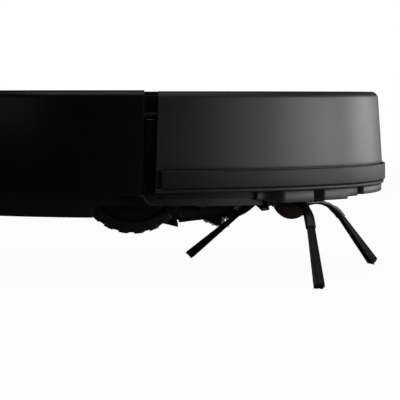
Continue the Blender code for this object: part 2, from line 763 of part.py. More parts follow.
# ---------------------------------------------------------------- caster
def caster():
    centre = (CASTER_X, 0.0)
    wheel_at = (CASTER_X - CASTER_TRAIL, CASTER_Z)
    wall = 2.0
    cup = [
        (4.4, 26.0), (4.4, 18.5), (CASTER_BAY_R, 18.5), (CASTER_BAY_R, FRONT_FLOOR_Z[1] + GAP),
        (CASTER_BAY_R + wall, FRONT_FLOOR_Z[1] + GAP), (CASTER_BAY_R + wall, 20.5), (9.0, 20.5), (9.0, 26.0),
    ]
    make("caster_socket", revolve(cup, 40, centre), tray_black())

    axle_cut = cylinder(1.5 + GAP, -20, 20, wheel_at, 16, "Y")
    stem = [(0.0, 15.2), (13.0, 15.2), (13.0, 17.6), (4.0, 17.6), (4.0, 25.6), (0.0, 25.6)]
    fork = make("caster_fork", revolve(stem, 32, centre), tray_black(), pivot=(*centre, 15.2))
    for side, sign in SIDES.items():
        cheek_y = sorted((sign * (CASTER_HALF + 0.8), sign * (CASTER_HALF + 3.0)))
        outline = [(wheel_at[0] - 5, -3.0), (wheel_at[0] + 5, -3.0), (CASTER_X + 7, 15.8)]
        outline.append((CASTER_X - 8.0, 15.8))
        add(fork, guide(f"fill_fork_cheek_{side}", prism(outline, *cheek_y, "Y")))
    cut(fork, guide("cut_fork_axle", axle_cut))

    pivot = (wheel_at[0], 0.0, wheel_at[1])
    reach = CASTER_HALF + 3.0
    make("caster_axle", cylinder(1.5, -reach, reach, wheel_at, 16, "Y"), steel(), pivot=pivot)
    edge = 2.5
    tread = [(1.8, -CASTER_HALF), (CASTER_R - edge, -CASTER_HALF), (CASTER_R, -CASTER_HALF + edge)]
    tread += [(CASTER_R, CASTER_HALF - edge), (CASTER_R - edge, CASTER_HALF), (1.8, CASTER_HALF)]
    brown = material("caster_brown", (0.035, 0.026, 0.022), 0.55)
    make("caster_wheel", revolve(tread, 36, wheel_at, "Y"), brown, pivot=pivot)


# ---------------------------------------------------------------- main-brush head
def head_frame(bm):
    """Moves a mesh from the level head's own position to the frame of the hinge empty."""
    shift = (-HEAD_PIVOT[0], 0.0, -HEAD_PIVOT[1])
    bmesh.ops.translate(bm, verts=bm.verts, vec=shift)
    return bm


def brush_head():
    tilt = (0.0, -radians(HEAD_DROOP), 0.0)
    hinge = axis_empty("brush_head_hinge", (HEAD_PIVOT[0], 0.0, HEAD_PIVOT[1]), tilt)
    sweep_cut = guide("cut_head_corner", cylinder(SWEEP_R, -30.0, 8.0, HUB_AT, 48))

    body = head_frame(box(HEAD_X, (-HEAD_HALF, HEAD_HALF), HEAD_Z))
    housing = make("brush_housing", body, tray_black(), parent=hinge)
    inner_y = HEAD_HALF - HEAD_WALL
    inner_x = (HEAD_X[0] + HEAD_WALL, HEAD_X[1] - HEAD_WALL)
    bay = head_frame(box(inner_x, (-inner_y, inner_y), (-10, HEAD_Z[1] - HEAD_WALL)))
    exit_hole = head_frame(box((20, 40), (-22, 22), (22, 40)))
    pin = head_frame(cylinder(2.0, -HEAD_HALF - 3.4, HEAD_HALF + 3.4, HEAD_PIVOT, 16, "Y"))
    add(housing, guide("fill_hinge_pin", pin, hinge))
    cut(
        housing,
        guide("cut_brush_bay", bay, hinge),
        guide("cut_brush_exit", exit_hole, hinge),
        sweep_cut,
    )

    plate = head_frame(box((HEAD_X[0] + 1, HEAD_X[1] - 1), (-82, 82), GUARD_Z))
    guard = make("brush_guard", plate, tray_black(), parent=hinge)
    mouth = head_frame(box((33.5, 84.5), (-76, 76), (-10, 10)))
    cut(guard, guide("cut_brush_mouth", mouth, hinge), sweep_cut)

    lip = [(16.4, -1.7), (26.6, -5.5), (27.3, -5.8), (27.6, -2.8), (16.8, -0.9)]
    scraper = head_frame(prism(lip, -78, 78, "Y"))
    make("brush_scraper_lip", scraper, soft_rubber(), parent=hinge)

    motor = head_frame(box((62, 90), (36, 82), (44.0, 60.0)))
    make("brush_gearmotor", motor, steel(), parent=hinge)
    main_brush(hinge)


def main_brush(hinge):
    """Roller: a core with soft fins that follow a shallow V, and a journal at each end."""
    points_per_fin = 6
    count = ROLLER_FINS * points_per_fin
    radii = [ROLLER_CORE_R, ROLLER_CORE_R, ROLLER_TIP_R, ROLLER_TIP_R, ROLLER_CORE_R, ROLLER_CORE_R]
    shares = [-0.5, -0.12, -0.06, 0.06, 0.12, 0.3]
    rings = []
    spans = 8
    levels = [-ROLLER_HALF + 2 * ROLLER_HALF * i / spans for i in range(spans + 1)]
    centre = (ROLLER_X - HEAD_PIVOT[0], ROLLER_Z - HEAD_PIVOT[1])

    def ring(y, journal):
        turn = radians(ROLLER_PHASE + ROLLER_TWIST * abs(y) / ROLLER_HALF)
        out = []
        for i in range(count):
            fin, place = divmod(i, points_per_fin)
            angle = 2 * pi * (fin + shares[place]) / ROLLER_FINS + turn
            radius = 4.0 if journal else radii[place]
            out.append((radius * cos(angle), y, radius * sin(angle)))
        return out

    end = HEAD_HALF - HEAD_WALL - 0.6
    rings.append(ring(-end, True))
    rings.append(ring(-ROLLER_HALF - 0.5, True))
    rings += [ring(y, False) for y in levels]
    rings.append(ring(ROLLER_HALF + 0.5, True))
    rings.append(ring(end, True))
    spin = axis_empty("main_brush_axis", (centre[0], 0.0, centre[1]), parent=hinge)
    make("main_brush", loft(rings), soft_rubber(), parent=spin)


# ---------------------------------------------------------------- side brush
def arm_path():
    """Centreline of an arm, as (distance from the axis, height), from its root to the bristle tips."""
    points = [ARM_ROOT, (ARM_BEND_START, ARM_ROOT[1])]
    steps = 6
    for i in range(1, steps + 1):
        bend = radians(ARM_BEND * i / steps)
        reach = ARM_BEND_START + ARM_BEND_R * sin(bend)
        points.append((reach, ARM_ROOT[1] - ARM_BEND_R * (1 - cos(bend))))
    return points


def swept_bar(stations):
    """Rectangular bar through stations of (distance, height, slope, width, thickness)."""
    rings = []
    for reach, height, slope, width, thick in stations:
        up = Vector((-sin(slope), 0.0, cos(slope))) * thick / 2
        side = Vector((0.0, width / 2, 0.0))
        at = Vector((reach, 0.0, height))
        rings.append([at - side - up, at + side - up, at + side + up, at - side + up])
    return loft(rings)


def side_brush():
    tilt = Vector((*BRUSH_TILT, 1.0)).normalized()
    rotation = Vector((0, 0, 1)).rotation_difference(tilt).to_euler()
    spin = axis_empty("side_brush_axis", (*HUB_AT, 0.0), rotation)
    profile = [(0.0, HUB_FOOT), (3.5, HUB_FOOT), (6.6, 3.2), (7.8, 4.2), (7.8, 7.6), (6.4, 9.2)]
    profile += [(2.6, 9.4), (2.6, 12.6), (0.0, 12.6)]
    make("side_brush_hub", revolve(profile, 32), soft_rubber(), parent=spin)

    path = arm_path()
    end_reach, end_height = path[-1]
    slope = atan2(BRISTLE_TIP[1] - end_height, BRISTLE_TIP[0] - end_reach)
    sleeve_end = (SLEEVE_END_R, end_height + (SLEEVE_END_R - end_reach) * tan(slope))
    stations = []
    for i, (reach, height) in enumerate(path):
        bend = -radians(ARM_BEND) * max(0, i - 1) / (len(path) - 2)
        stations.append((reach, height, bend, SLEEVE_W, SLEEVE_T))
    stations.append((*sleeve_end, slope, SLEEVE_W, SLEEVE_T))
    start = (sleeve_end[0] + GAP * cos(slope), sleeve_end[1] + GAP * sin(slope))
    middle = ((start[0] + BRISTLE_TIP[0]) / 2, (start[1] + BRISTLE_TIP[1]) / 2)
    tuft = [(*start, slope, 5.0, 2.5), (*middle, slope, 5.8, 3.4), (*BRISTLE_TIP, slope, 6.7, 4.2)]
    root = (ARM_HINGE_R, 0.0, ARM_ROOT[1])
    for i in range(ARM_COUNT):
        angle = radians(ARM_FIRST_ANGLE + 360.0 * i / ARM_COUNT)
        holder = axis_empty(f"side_brush_arm_axis_{i + 1}", (0, 0, 0), (0, 0, angle), spin)
        sleeve = swept_bar(stations)
        make(f"side_brush_arm_{i + 1}", sleeve, soft_rubber(), pivot=root, parent=holder)
        bristles = swept_bar(tuft)
        make(f"side_brush_bristles_{i + 1}", bristles, bristle_nylon(), pivot=root, parent=holder)


# ---------------------------------------------------------------- dust bin
def bin_outline(margin, front):
    """Plan of the bin: straight front and sides, and a rear that follows the body's round wall."""
    radius = SHELL_R - margin
    half = BIN_HALF - margin
    edge = asin(half / radius)
    steps = 14
    rear = []
    for i in range(steps + 1):
        angle = pi - edge + 2 * edge * i / steps
        rear.append((radius * cos(angle), radius * sin(angle)))
    return [(front, half), *rear, (front, -half)]


def dust_bin():
    travel_pivot = (BIN_FRONT, 0.0, BIN_Z[0])
    outer = prism(bin_outline(0.0, BIN_FRONT), *BIN_Z)
    tub = make("dust_bin", outer, smoked(), pivot=travel_pivot)
    hollow = prism(bin_outline(BIN_WALL, BIN_FRONT - BIN_WALL), BIN_Z[0] + BIN_WALL, BIN_Z[1] + 5)
    inlet = box((-90, -70), (-22, 22), (35, 54))
    outlet = box((-90, -70), (40, 76), (20, 58))
    latch_hole = box((-190, -160), (-14.4, 14.4), (49.6, 60.4))
    cut(
        tub,
        guide("cut_bin_hollow", hollow),
        guide("cut_bin_inlet", inlet),
        guide("cut_bin_outlet", outlet),
        guide("cut_latch_hole", latch_hole),
    )
    lid = prism(bin_outline(0.0, BIN_FRONT), *LID_Z)
    make("dust_bin_lid", lid, smoked(), pivot=travel_pivot)
    cream = material("filter_paper", (0.7, 0.68, 0.6), 0.9)
    make("dust_filter", box((-96, -82.3), (38, 78), (17, 60)), cream, pivot=travel_pivot)
    latch = box((-176.2, -168.0), (-14, 14), (50, 60))
    make("bin_latch", latch, bumper_grey(), pivot=(-176.2, 0.0, 55.0))


def build():
    for old in list(bpy.data.objects):
        bpy.data.objects.remove(old)
    chassis()
    rear_shell()
    front_skirt()
    top_cover()
    buttons()
    gap_liners()
    wall_sensor_window()
    battery()
    suction_duct()
    fan()
    electronics()
    bumper_stops()
    bumper()
    for side, sign in SIDES.items():
        wheel_module(side, sign)
    caster()
    brush_head()
    side_brush()
    dust_bin()


build()
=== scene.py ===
import json
import random
from math import acos, asin, atan2, cos, degrees, hypot, pi, radians, sin, tan

import bmesh
import bpy
from mathutils import Matrix, Vector


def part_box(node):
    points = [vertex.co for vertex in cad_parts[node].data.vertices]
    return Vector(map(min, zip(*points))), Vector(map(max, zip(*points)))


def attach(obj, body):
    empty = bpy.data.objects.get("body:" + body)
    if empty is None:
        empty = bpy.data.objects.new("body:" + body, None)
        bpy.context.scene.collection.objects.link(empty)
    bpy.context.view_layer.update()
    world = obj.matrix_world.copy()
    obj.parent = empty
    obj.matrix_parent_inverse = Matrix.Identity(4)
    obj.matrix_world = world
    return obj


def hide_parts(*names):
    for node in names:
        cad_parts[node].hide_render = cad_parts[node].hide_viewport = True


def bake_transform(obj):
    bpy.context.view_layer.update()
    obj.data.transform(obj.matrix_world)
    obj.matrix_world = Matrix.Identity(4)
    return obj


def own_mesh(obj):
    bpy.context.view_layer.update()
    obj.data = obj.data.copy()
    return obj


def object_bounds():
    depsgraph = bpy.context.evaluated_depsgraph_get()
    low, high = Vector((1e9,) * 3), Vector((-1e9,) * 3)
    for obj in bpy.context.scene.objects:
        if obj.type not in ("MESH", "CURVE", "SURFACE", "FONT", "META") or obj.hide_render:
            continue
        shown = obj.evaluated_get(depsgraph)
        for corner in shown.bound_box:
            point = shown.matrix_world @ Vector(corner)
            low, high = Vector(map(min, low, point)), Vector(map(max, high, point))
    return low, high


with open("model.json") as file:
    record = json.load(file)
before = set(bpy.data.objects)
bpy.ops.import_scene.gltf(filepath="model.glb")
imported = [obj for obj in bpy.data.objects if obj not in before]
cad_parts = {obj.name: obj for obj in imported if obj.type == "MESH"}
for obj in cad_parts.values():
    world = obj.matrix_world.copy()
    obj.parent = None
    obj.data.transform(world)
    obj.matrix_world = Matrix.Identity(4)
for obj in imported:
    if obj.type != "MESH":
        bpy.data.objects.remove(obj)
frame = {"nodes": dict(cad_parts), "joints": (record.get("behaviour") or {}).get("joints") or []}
cad_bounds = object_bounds()

# Every length is in millimetres and is scaled by MM when a mesh is made.
MM = 0.001
SIDES = {"right": -1, "left": 1}


# ---------------------------------------------------------------- places read from the frame
def span(node):
    """Lowest and highest corner of a CAD node, in millimetres."""
    low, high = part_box(node)
    return low / MM, high / MM


def joint(name):
    """A joint's point, in millimetres, and its axis."""
    found = next(j for j in frame["joints"] if j["name"] == name)
    return Vector(found.get("pos_m", (0, 0, 0))) / MM, Vector(found["axis"])


SHELL_LOW, SHELL_HIGH = span("rear_shell")
SHELL_R = -SHELL_LOW.x
SHELL_Z = (SHELL_LOW.z, SHELL_HIGH.z)
SHELL_EDGE_X = (SHELL_HIGH.x, SHELL_HIGH.x - 1.6)
BUMPER_LOW, BUMPER_HIGH = span("bumper_shell")
BUMPER_LIP_R = BUMPER_HIGH.x
BUMPER_TOP = 77.5
BUMPER_Z = (BUMPER_LOW.z, BUMPER_TOP)
BUMPER_EDGE_X = (BUMPER_LOW.x + 1.9, BUMPER_LOW.x)
STRIP_LOW, STRIP_HIGH = span("bumper_strip")
TRAY_R = span("chassis")[1].x
COVER_LOW, COVER_HIGH = span("top_cover")
HUB_AT, BRUSH_AXIS = joint("side_brush_spin")
HEAD_AT, _ = joint("brush_head_float")
ROLLER_AT, _ = joint("main_brush_spin")
CASTER_AT, _ = joint("caster_swivel")
CASTER_WHEEL_AT, _ = joint("caster_roll")
HEAD_DROOP = 6.6  # degrees below level, at rest


# ---------------------------------------------------------------- materials
def node(tree, kind, **values):
    made = tree.nodes.new(kind)
    for key, value in values.items():
        if key in made.inputs:
            made.inputs[key].default_value = value
        else:
            setattr(made, key, value)
    return made


def noise(tree, coords, size_mm, detail=4.0, stretch=None):
    """Noise whose features are about size_mm across, in object space."""
    source = coords.outputs["Object"]
    if stretch:
        mapping = node(tree, "ShaderNodeMapping")
        mapping.inputs["Scale"].default_value = stretch
        tree.links.new(source, mapping.inputs["Vector"])
        source = mapping.outputs["Vector"]
    made = node(tree, "ShaderNodeTexNoise", Scale=1.0 / (size_mm * MM), Detail=detail)
    tree.links.new(source, made.inputs["Vector"])
    return made.outputs["Fac"]


def mapped(tree, value, low, high, from_low=0.3, from_high=0.7):
    made = node(tree, "ShaderNodeMapRange")
    made.inputs["From Min"].default_value = from_low
    made.inputs["From Max"].default_value = from_high
    made.inputs["To Min"].default_value = low
    made.inputs["To Max"].default_value = high
    tree.links.new(value, made.inputs["Value"])
    return made.outputs["Result"]


def blended(tree, factor, first, second):
    """Colour mix of two colours, or of a socket and a colour."""
    made = node(tree, "ShaderNodeMix", data_type="RGBA")
    tree.links.new(factor, made.inputs["Factor"])
    for socket, value in ((made.inputs[6], first), (made.inputs[7], second)):
        if isinstance(value, tuple):
            socket.default_value = (*value, 1.0)
        else:
            tree.links.new(value, socket)
    return made.outputs[2]


def finish_material(
    name, dark, light, rough, grain, bump, patch=35.0, metallic=0.0, specular=0.5,
    scratches=0.0, wear=0.0, coat=0.0, sheen=0.0, stretch=None,
):
    """Moulded or turned surface: patchy colour and roughness, grain, hairline scratches, worn edges."""
    made = bpy.data.materials.new(name)
    made.use_nodes = True
    tree = made.node_tree
    shader = tree.nodes["Principled BSDF"]
    coords = node(tree, "ShaderNodeTexCoord")
    patches = noise(tree, coords, patch)
    fine = noise(tree, coords, grain, 3.0, stretch)
    colour = blended(tree, mapped(tree, patches, 0.0, 1.0), dark, light)
    if wear:
        edges = node(tree, "ShaderNodeNewGeometry")
        worn = mapped(tree, edges.outputs["Pointiness"], 0.0, wear, 0.53, 0.62)
        lighter = tuple(min(1.0, 0.03 + 2.2 * c) for c in light)
        colour = blended(tree, worn, colour, lighter)
    tree.links.new(colour, shader.inputs["Base Color"])
    mixed = node(tree, "ShaderNodeMath", operation="ADD")
    tree.links.new(mapped(tree, patches, -rough[1], rough[1]), mixed.inputs[0])
    tree.links.new(mapped(tree, fine, rough[0] - rough[1], rough[0] + rough[1]), mixed.inputs[1])
    tree.links.new(mixed.outputs[0], shader.inputs["Roughness"])
    shader.inputs["Metallic"].default_value = metallic
    shader.inputs["Specular IOR Level"].default_value = specular
    shader.inputs["Coat Weight"].default_value = coat
    shader.inputs["Sheen Weight"].default_value = sheen
    height = fine
    if scratches:
        lines = noise(tree, coords, 9.0, 2.0, (1.0, 1.0, 14.0))
        hair = mapped(tree, lines, 0.0, scratches, 0.60, 0.66)
        total = node(tree, "ShaderNodeMath", operation="SUBTRACT")
        tree.links.new(fine, total.inputs[0])
        tree.links.new(hair, total.inputs[1])
        height = total.outputs[0]
    relief = node(tree, "ShaderNodeBump", Strength=0.6, Distance=bump * MM)
    tree.links.new(height, relief.inputs["Height"])
    tree.links.new(relief.outputs["Normal"], shader.inputs["Normal"])
    return made


def make_materials():
    made = {}
    made["gloss"] = finish_material(
        "gloss_black", (0.007, 0.007, 0.0075), (0.010, 0.010, 0.0105), (0.3, 0.02), 1.6, 0.006,
        patch=60, scratches=0.3, wear=0.25, specular=0.35)
    made["lid"] = finish_material(
        "lid_black", (0.008, 0.008, 0.009), (0.013, 0.013, 0.014), (0.3, 0.03), 0.6, 0.01,
        patch=50, scratches=0.25, wear=0.25)
    made["charcoal"] = finish_material(
        "bumper_charcoal", (0.022, 0.022, 0.023), (0.028, 0.028, 0.029), (0.46, 0.025), 0.5, 0.012,
        patch=45, scratches=0.1, wear=0.3)
    made["tray"] = finish_material(
        "tray_black", (0.005, 0.005, 0.0055), (0.009, 0.009, 0.0095), (0.55, 0.04), 0.7, 0.03,
        patch=30, scratches=0.2, wear=0.3)
    made["skirt"] = finish_material(
        "skirt_grey", (0.026, 0.026, 0.027), (0.034, 0.034, 0.035), (0.5, 0.03), 0.6, 0.02,
        patch=25, wear=0.3)
    made["band"] = finish_material(
        "band_rubber", (0.011, 0.011, 0.0115), (0.015, 0.015, 0.016), (0.55, 0.03), 0.45, 0.015,
        patch=30, specular=0.4)
    made["tyre"] = finish_material(
        "tyre_rubber", (0.007, 0.007, 0.0075), (0.018, 0.0175, 0.017), (0.78, 0.06), 0.9, 0.06,
        patch=12, specular=0.3, wear=0.3)
    made["rubber"] = finish_material(
        "arm_rubber", (0.005, 0.005, 0.0055), (0.009, 0.009, 0.0095), (0.42, 0.04), 0.5, 0.02,
        patch=10, wear=0.2)
    made["fin"] = finish_material(
        "fin_rubber", (0.01, 0.01, 0.011), (0.02, 0.02, 0.021), (0.6, 0.05), 0.6, 0.03,
        patch=14, specular=0.35)
    made["nylon"] = finish_material(
        "bristle_nylon", (0.003, 0.003, 0.0035), (0.011, 0.011, 0.0115), (0.5, 0.05), 0.4, 0.01,
        patch=2.5, specular=0.3)
    made["grey_nylon"] = finish_material(
        "roller_bristle", (0.25, 0.25, 0.26), (0.42, 0.42, 0.43), (0.5, 0.05), 0.4, 0.01,
        patch=3, specular=0.5)
    made["caster"] = finish_material(
        "caster_brown", (0.014, 0.008, 0.007), (0.026, 0.013, 0.010), (0.5, 0.06), 0.8, 0.04,
        patch=8, scratches=0.5, wear=0.4)
    made["steel"] = finish_material(
        "bright_steel", (0.5, 0.5, 0.5), (0.62, 0.62, 0.63), (0.28, 0.05), 0.4, 0.008,
        patch=10, metallic=1.0, stretch=(1.0, 12.0, 1.0))
    made["contact"] = finish_material(
        "contact_nickel", (0.6, 0.57, 0.5), (0.74, 0.71, 0.64), (0.25, 0.05), 0.5, 0.008,
        patch=5, metallic=1.0, stretch=(10.0, 1.0, 1.0))
    made["smoked"] = finish_material(
        "smoked_window", (0.006, 0.004, 0.005), (0.011, 0.006, 0.008), (0.1, 0.02), 1.5, 0.004,
        patch=20, coat=0.4)
    made["bin"] = finish_material(
        "bin_smoked", (0.007, 0.007, 0.008), (0.012, 0.011, 0.012), (0.18, 0.03), 1.4, 0.006,
        patch=40, scratches=0.3, wear=0.2)
    made["battery"] = finish_material(
        "battery_wrap", (0.03, 0.1, 0.24), (0.05, 0.15, 0.32), (0.4, 0.04), 1.0, 0.03, patch=20)
    made["board"] = finish_material(
        "board_green", (0.02, 0.11, 0.045), (0.03, 0.16, 0.07), (0.45, 0.05), 1.2, 0.02, patch=6)
    made["paper"] = finish_material(
        "filter_paper", (0.55, 0.52, 0.44), (0.72, 0.69, 0.6), (0.85, 0.05), 0.5, 0.05, patch=6, sheen=0.2)
    made["fan"] = finish_material(
        "fan_grey", (0.22, 0.22, 0.23), (0.3, 0.3, 0.31), (0.45, 0.05), 0.8, 0.02, patch=15)
    made["mark"] = finish_material(
        "mark_grey", (0.28, 0.28, 0.29), (0.36, 0.36, 0.37), (0.4, 0.04), 0.6, 0.01, patch=6)
    return made


MATERIALS = make_materials()


# ---------------------------------------------------------------- mesh helpers
def build(name, bm, mat, body=None, nodes=(), crease=32.0, bevel=0.0, segments=2, matrix=None):
    """Turns a bmesh in millimetres into a piece that rides on a body and stands for CAD nodes."""
    if matrix is not None:
        bmesh.ops.transform(bm, matrix=matrix, verts=bm.verts)
    bmesh.ops.scale(bm, vec=(MM, MM, MM), verts=bm.verts)
    bmesh.ops.recalc_face_normals(bm, faces=bm.faces)
    mesh = bpy.data.meshes.new(name)
    bm.to_mesh(mesh)
    bm.free()
    mesh.materials.append(MATERIALS[mat])
    mesh.shade_smooth()
    mesh.set_sharp_from_angle(angle=radians(crease))
    obj = bpy.data.objects.new(name, mesh)
    bpy.context.scene.collection.objects.link(obj)
    if bevel:
        add_bevel(obj, bevel, segments)
    if body:
        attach(obj, body)
    if nodes:
        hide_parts(*nodes)
    return obj


def mount(obj, body, node_name):
    """Puts a finished piece on its body, in place of a CAD node."""
    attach(obj, body)
    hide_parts(node_name)


def add_bevel(obj, width, segments=2, angle=35.0):
    modifier = obj.modifiers.new("edge_rounding", "BEVEL")
    modifier.width = width * MM
    modifier.segments = segments
    modifier.limit_method = "ANGLE"
    modifier.angle_limit = radians(angle)
    modifier.use_clamp_overlap = True
    modifier.harden_normals = False


def carve(obj, cutters=(), fillers=()):
    """Joins fillers to obj and cuts cutters from it, all given as bmeshes, and keeps the plain result."""
    tools = []
    for operation, shapes in (("UNION", fillers), ("DIFFERENCE", cutters)):
        for shape in shapes:
            tool = build(f"{obj.name}_tool_{len(tools)}", shape, "tray")
            tools.append(tool)
            modifier = obj.modifiers.new(tool.name, "BOOLEAN")
            modifier.operation = operation
            modifier.solver = "EXACT"
            modifier.object = tool
    bpy.context.view_layer.update()
    evaluated = obj.evaluated_get(bpy.context.evaluated_depsgraph_get())
    mesh = bpy.data.meshes.new_from_object(evaluated)
    obj.modifiers.clear()
    obj.data = mesh
    for tool in tools:
        bpy.data.objects.remove(tool)
    mesh.shade_smooth()
    mesh.set_sharp_from_angle(angle=radians(32))
    return obj


def loft(rings, closed=False):
    bm = bmesh.new()
    add_loft(bm, rings, closed)
    return bm


def add_loft(bm, rings, closed=False):
    """Skin through rings of equal point counts: a closed loop of rings, or flat caps at the ends."""
    rows = [[bm.verts.new(point) for point in ring] for ring in rings]
    count = len(rows[0])
    pairs = list(zip(rows, rows[1:])) + ([(rows[-1], rows[0])] if closed else [])
    for low, high in pairs:
        for i in range(count):
            j = (i + 1) % count
            bm.faces.new((low[i], low[j], high[j], high[i]))
    if not closed:
        bm.faces.new(list(reversed(rows[0])))
        bm.faces.new(rows[-1])


def box(x, y, z):
    bm = bmesh.new()
    add_box(bm, x, y, z)
    return bm


def add_box(bm, x, y, z):
    centre = Vector((x[0] + x[1], y[0] + y[1], z[0] + z[1])) / 2
    size = (abs(x[1] - x[0]), abs(y[1] - y[0]), abs(z[1] - z[0]))
    bmesh.ops.create_cube(bm, size=1.0, matrix=Matrix.Translation(centre) @ Matrix.Diagonal((*size, 1.0)))


def prism(outline, low, high, axis="Z"):
    place = {
        "Z": lambda a, b, t: (a, b, t),
        "Y": lambda a, b, t: (a, t, b),
        "X": lambda a, b, t: (t, a, b),
    }[axis]
    return loft([[place(a, b, level) for a, b in outline] for level in (low, high)])


def circle(radius, centre=(0.0, 0.0), steps=64):
    return [
        (centre[0] + radius * cos(2 * pi * i / steps), centre[1] + radius * sin(2 * pi * i / steps))
        for i in range(steps)
    ]


def cylinder(radius, low, high, centre=(0.0, 0.0), steps=64, axis="Z"):
    return prism(circle(radius, centre, steps), low, high, axis)


def revolve(profile, steps=96, centre=(0.0, 0.0, 0.0), axis="Z", relief=None):
    """Turns a closed profile of (radius, height); a profile that starts and ends at radius 0 is solid.

    relief(radius, height, angle) may change a point's radius."""
    bm = bmesh.new()
    solid = profile[0][0] == 0.0 and profile[-1][0] == 0.0
    rings = profile[1:-1] if solid else profile
    rows = []
    for radius, height in rings:
        row = []
        for i in range(steps):
            angle = 2 * pi * i / steps
            r = relief(radius, height, angle) if relief else radius
            row.append(bm.verts.new((r * cos(angle), r * sin(angle), height)))
        rows.append(row)
    pairs = list(zip(rows, rows[1:])) + ([] if solid else [(rows[-1], rows[0])])
    for low, high in pairs:
        for i in range(steps):
            j = (i + 1) % steps
            bm.faces.new((low[i], low[j], high[j], high[i]))
    if solid:
        for row, (_, height) in ((rows[0], profile[0]), (rows[-1], profile[-1])):
            tip = bm.verts.new((0.0, 0.0, height))
            for i in range(steps):
                bm.faces.new((row[i], row[(i + 1) % steps], tip))
    if axis == "Y":
        for vertex in bm.verts:
            x, y, z = vertex.co
            vertex.co = (x, z, y)
    bmesh.ops.translate(bm, verts=bm.verts, vec=centre)
    return bm


def sweep(profile, first, last, steps):
    """Sweeps a closed (radius, z) profile about Z between each point's own two end angles."""
    rings = []
    for i in range(steps + 1):
        t = i / steps
        ring = []
        for radius, z in profile:
            angle = first(radius, z) * (1 - t) + last(radius, z) * t
            ring.append((radius * cos(angle), radius * sin(angle), z))
        rings.append(ring)
    return loft(rings)


def at_x(x, sign=1):
    """End of a sweep that lies in the plane at x, on one side of the machine."""
    return lambda radius, z: sign * acos(x / radius)


def at_y(y):
    """End of a sweep that lies in the plane at y, in front."""
    return lambda radius, z: asin(y / radius)


def at_turn(turn):
    """End of a sweep that lies at an angle in degrees from straight ahead."""
    return lambda radius, z: radians(turn)


def leaning_edge(edge_x, z_range):
    """End of a sweep whose x changes evenly from the foot to the top."""
    def angle(radius, z):
        share = (z - z_range[0]) / (z_range[1] - z_range[0])
        return acos((edge_x[1] + (edge_x[0] - edge_x[1]) * share) / radius)
    return angle


def arc(centre, radius, start, end, steps=8):
    """Points of an arc between two angles in degrees."""
    return [
        (
            centre[0] + radius * cos(radians(start + (end - start) * i / steps)),
            centre[1] + radius * sin(radians(start + (end - start) * i / steps)),
        )
        for i in range(steps + 1)
    ]


def smooth(value, low, high):
    """0 below low, 1 above high and a smooth step between; low may be above high."""
    t = min(1.0, max(0.0, (value - low) / (high - low)))
    return t * t * (3 - 2 * t)


# ---------------------------------------------------------------- outer shells
def rear_shell():
    low, top = SHELL_Z
    fillet_r = 5.0
    inner = SHELL_R - 2.6
    flange = TRAY_R + 0.8
    profile = [
        (flange, low), (SHELL_R - 1.0, low), (SHELL_R - 0.3, low + 0.3), (SHELL_R, low + 1.0),
        *arc((SHELL_R - fillet_r, top - fillet_r), fillet_r, 0, 90, 12),
        (flange + 0.6, top), (flange, top - 0.5), (flange, top - 2.4),
        (inner - 2.0, top - 2.4), (inner, top - 4.6), (inner, low + 2.2), (flange, low + 2.2),
    ]
    edge = leaning_edge(SHELL_EDGE_X, SHELL_Z)

    def far_side(radius, z):
        return 2 * pi - edge(radius, z)

    shell = build("rear_shell_skin", sweep(profile, edge, far_side, 220), "gloss")
    bin_low, bin_high = span("dust_bin")
    lid_top = span("dust_bin_lid")[1].z
    carve(shell, [box((-200, -60), (bin_low.y - 0.6, bin_high.y + 0.6), (0, lid_top + 0.5))])
    add_bevel(shell, 0.6, 3, 45)
    mount(shell, "body", "rear_shell")


def bumper():
    low, top = BUMPER_Z
    lip_top = STRIP_LOW.z - 0.4
    seat_top = STRIP_HIGH.z + 0.5
    outer_low = BUMPER_LIP_R - 1.3
    inner = BUMPER_LIP_R - 5.5
    fillet_r = 5.0
    centre = (166.4, top - fillet_r)
    flange = 167.2
    flange_angle = degrees(acos((flange - centre[0]) / fillet_r))
    profile = [
        (inner, low), (BUMPER_LIP_R - 0.9, low), (BUMPER_LIP_R - 0.2, low + 0.2), (BUMPER_LIP_R, low + 0.8),
        (BUMPER_LIP_R, lip_top - 0.3), (BUMPER_LIP_R - 0.3, lip_top),
        (outer_low - 0.9, lip_top), (outer_low - 0.9, seat_top), (outer_low, seat_top),
        (outer_low + 0.1, seat_top + 0.3), (outer_low, 31.0), (outer_low - 1.2, 50.0),
        *arc(centre, fillet_r, 4, flange_angle, 12),
        (flange, top - 2.2), (inner, top - 2.2),
    ]
    edge = leaning_edge(BUMPER_EDGE_X, BUMPER_Z)

    def other_side(radius, z):
        return -edge(radius, z)

    shell = build("bumper_skin", sweep(profile, other_side, edge, 220), "charcoal")
    pane_low, pane_high = span("docking_window")
    gap = 0.3
    hole = box((160, 190), (pane_low.y - gap, pane_high.y + gap), (pane_low.z - gap, pane_high.z + gap))
    carve(shell, [hole])
    add_bevel(shell, 0.5, 3, 45)
    mount(shell, "bumper", "bumper_shell")
    bumper_band()
    docking_pane()


def bumper_band():
    """Soft band seated in the bumper, with a flat face and rounded edges."""
    low, high = STRIP_LOW.z, STRIP_HIGH.z
    inner, face = 173.5, STRIP_HIGH.x
    middle = (low + high) / 2
    profile = [(inner, low), (face - 0.9, low), (face - 0.35, low + 0.2), (face - 0.08, low + 0.55)]
    profile += [(face, low + 1.1), (face, middle), (face, high - 1.1), (face - 0.08, high - 0.55)]
    profile += [(face - 0.35, high - 0.2), (face - 0.9, high), (inner, high)]
    start = STRIP_LOW.x
    band = sweep(profile, at_x(start, -1), at_x(start), 220)
    build("bumper_band", band, "band", "bumper", ["bumper_strip"],
          bevel=0.4)


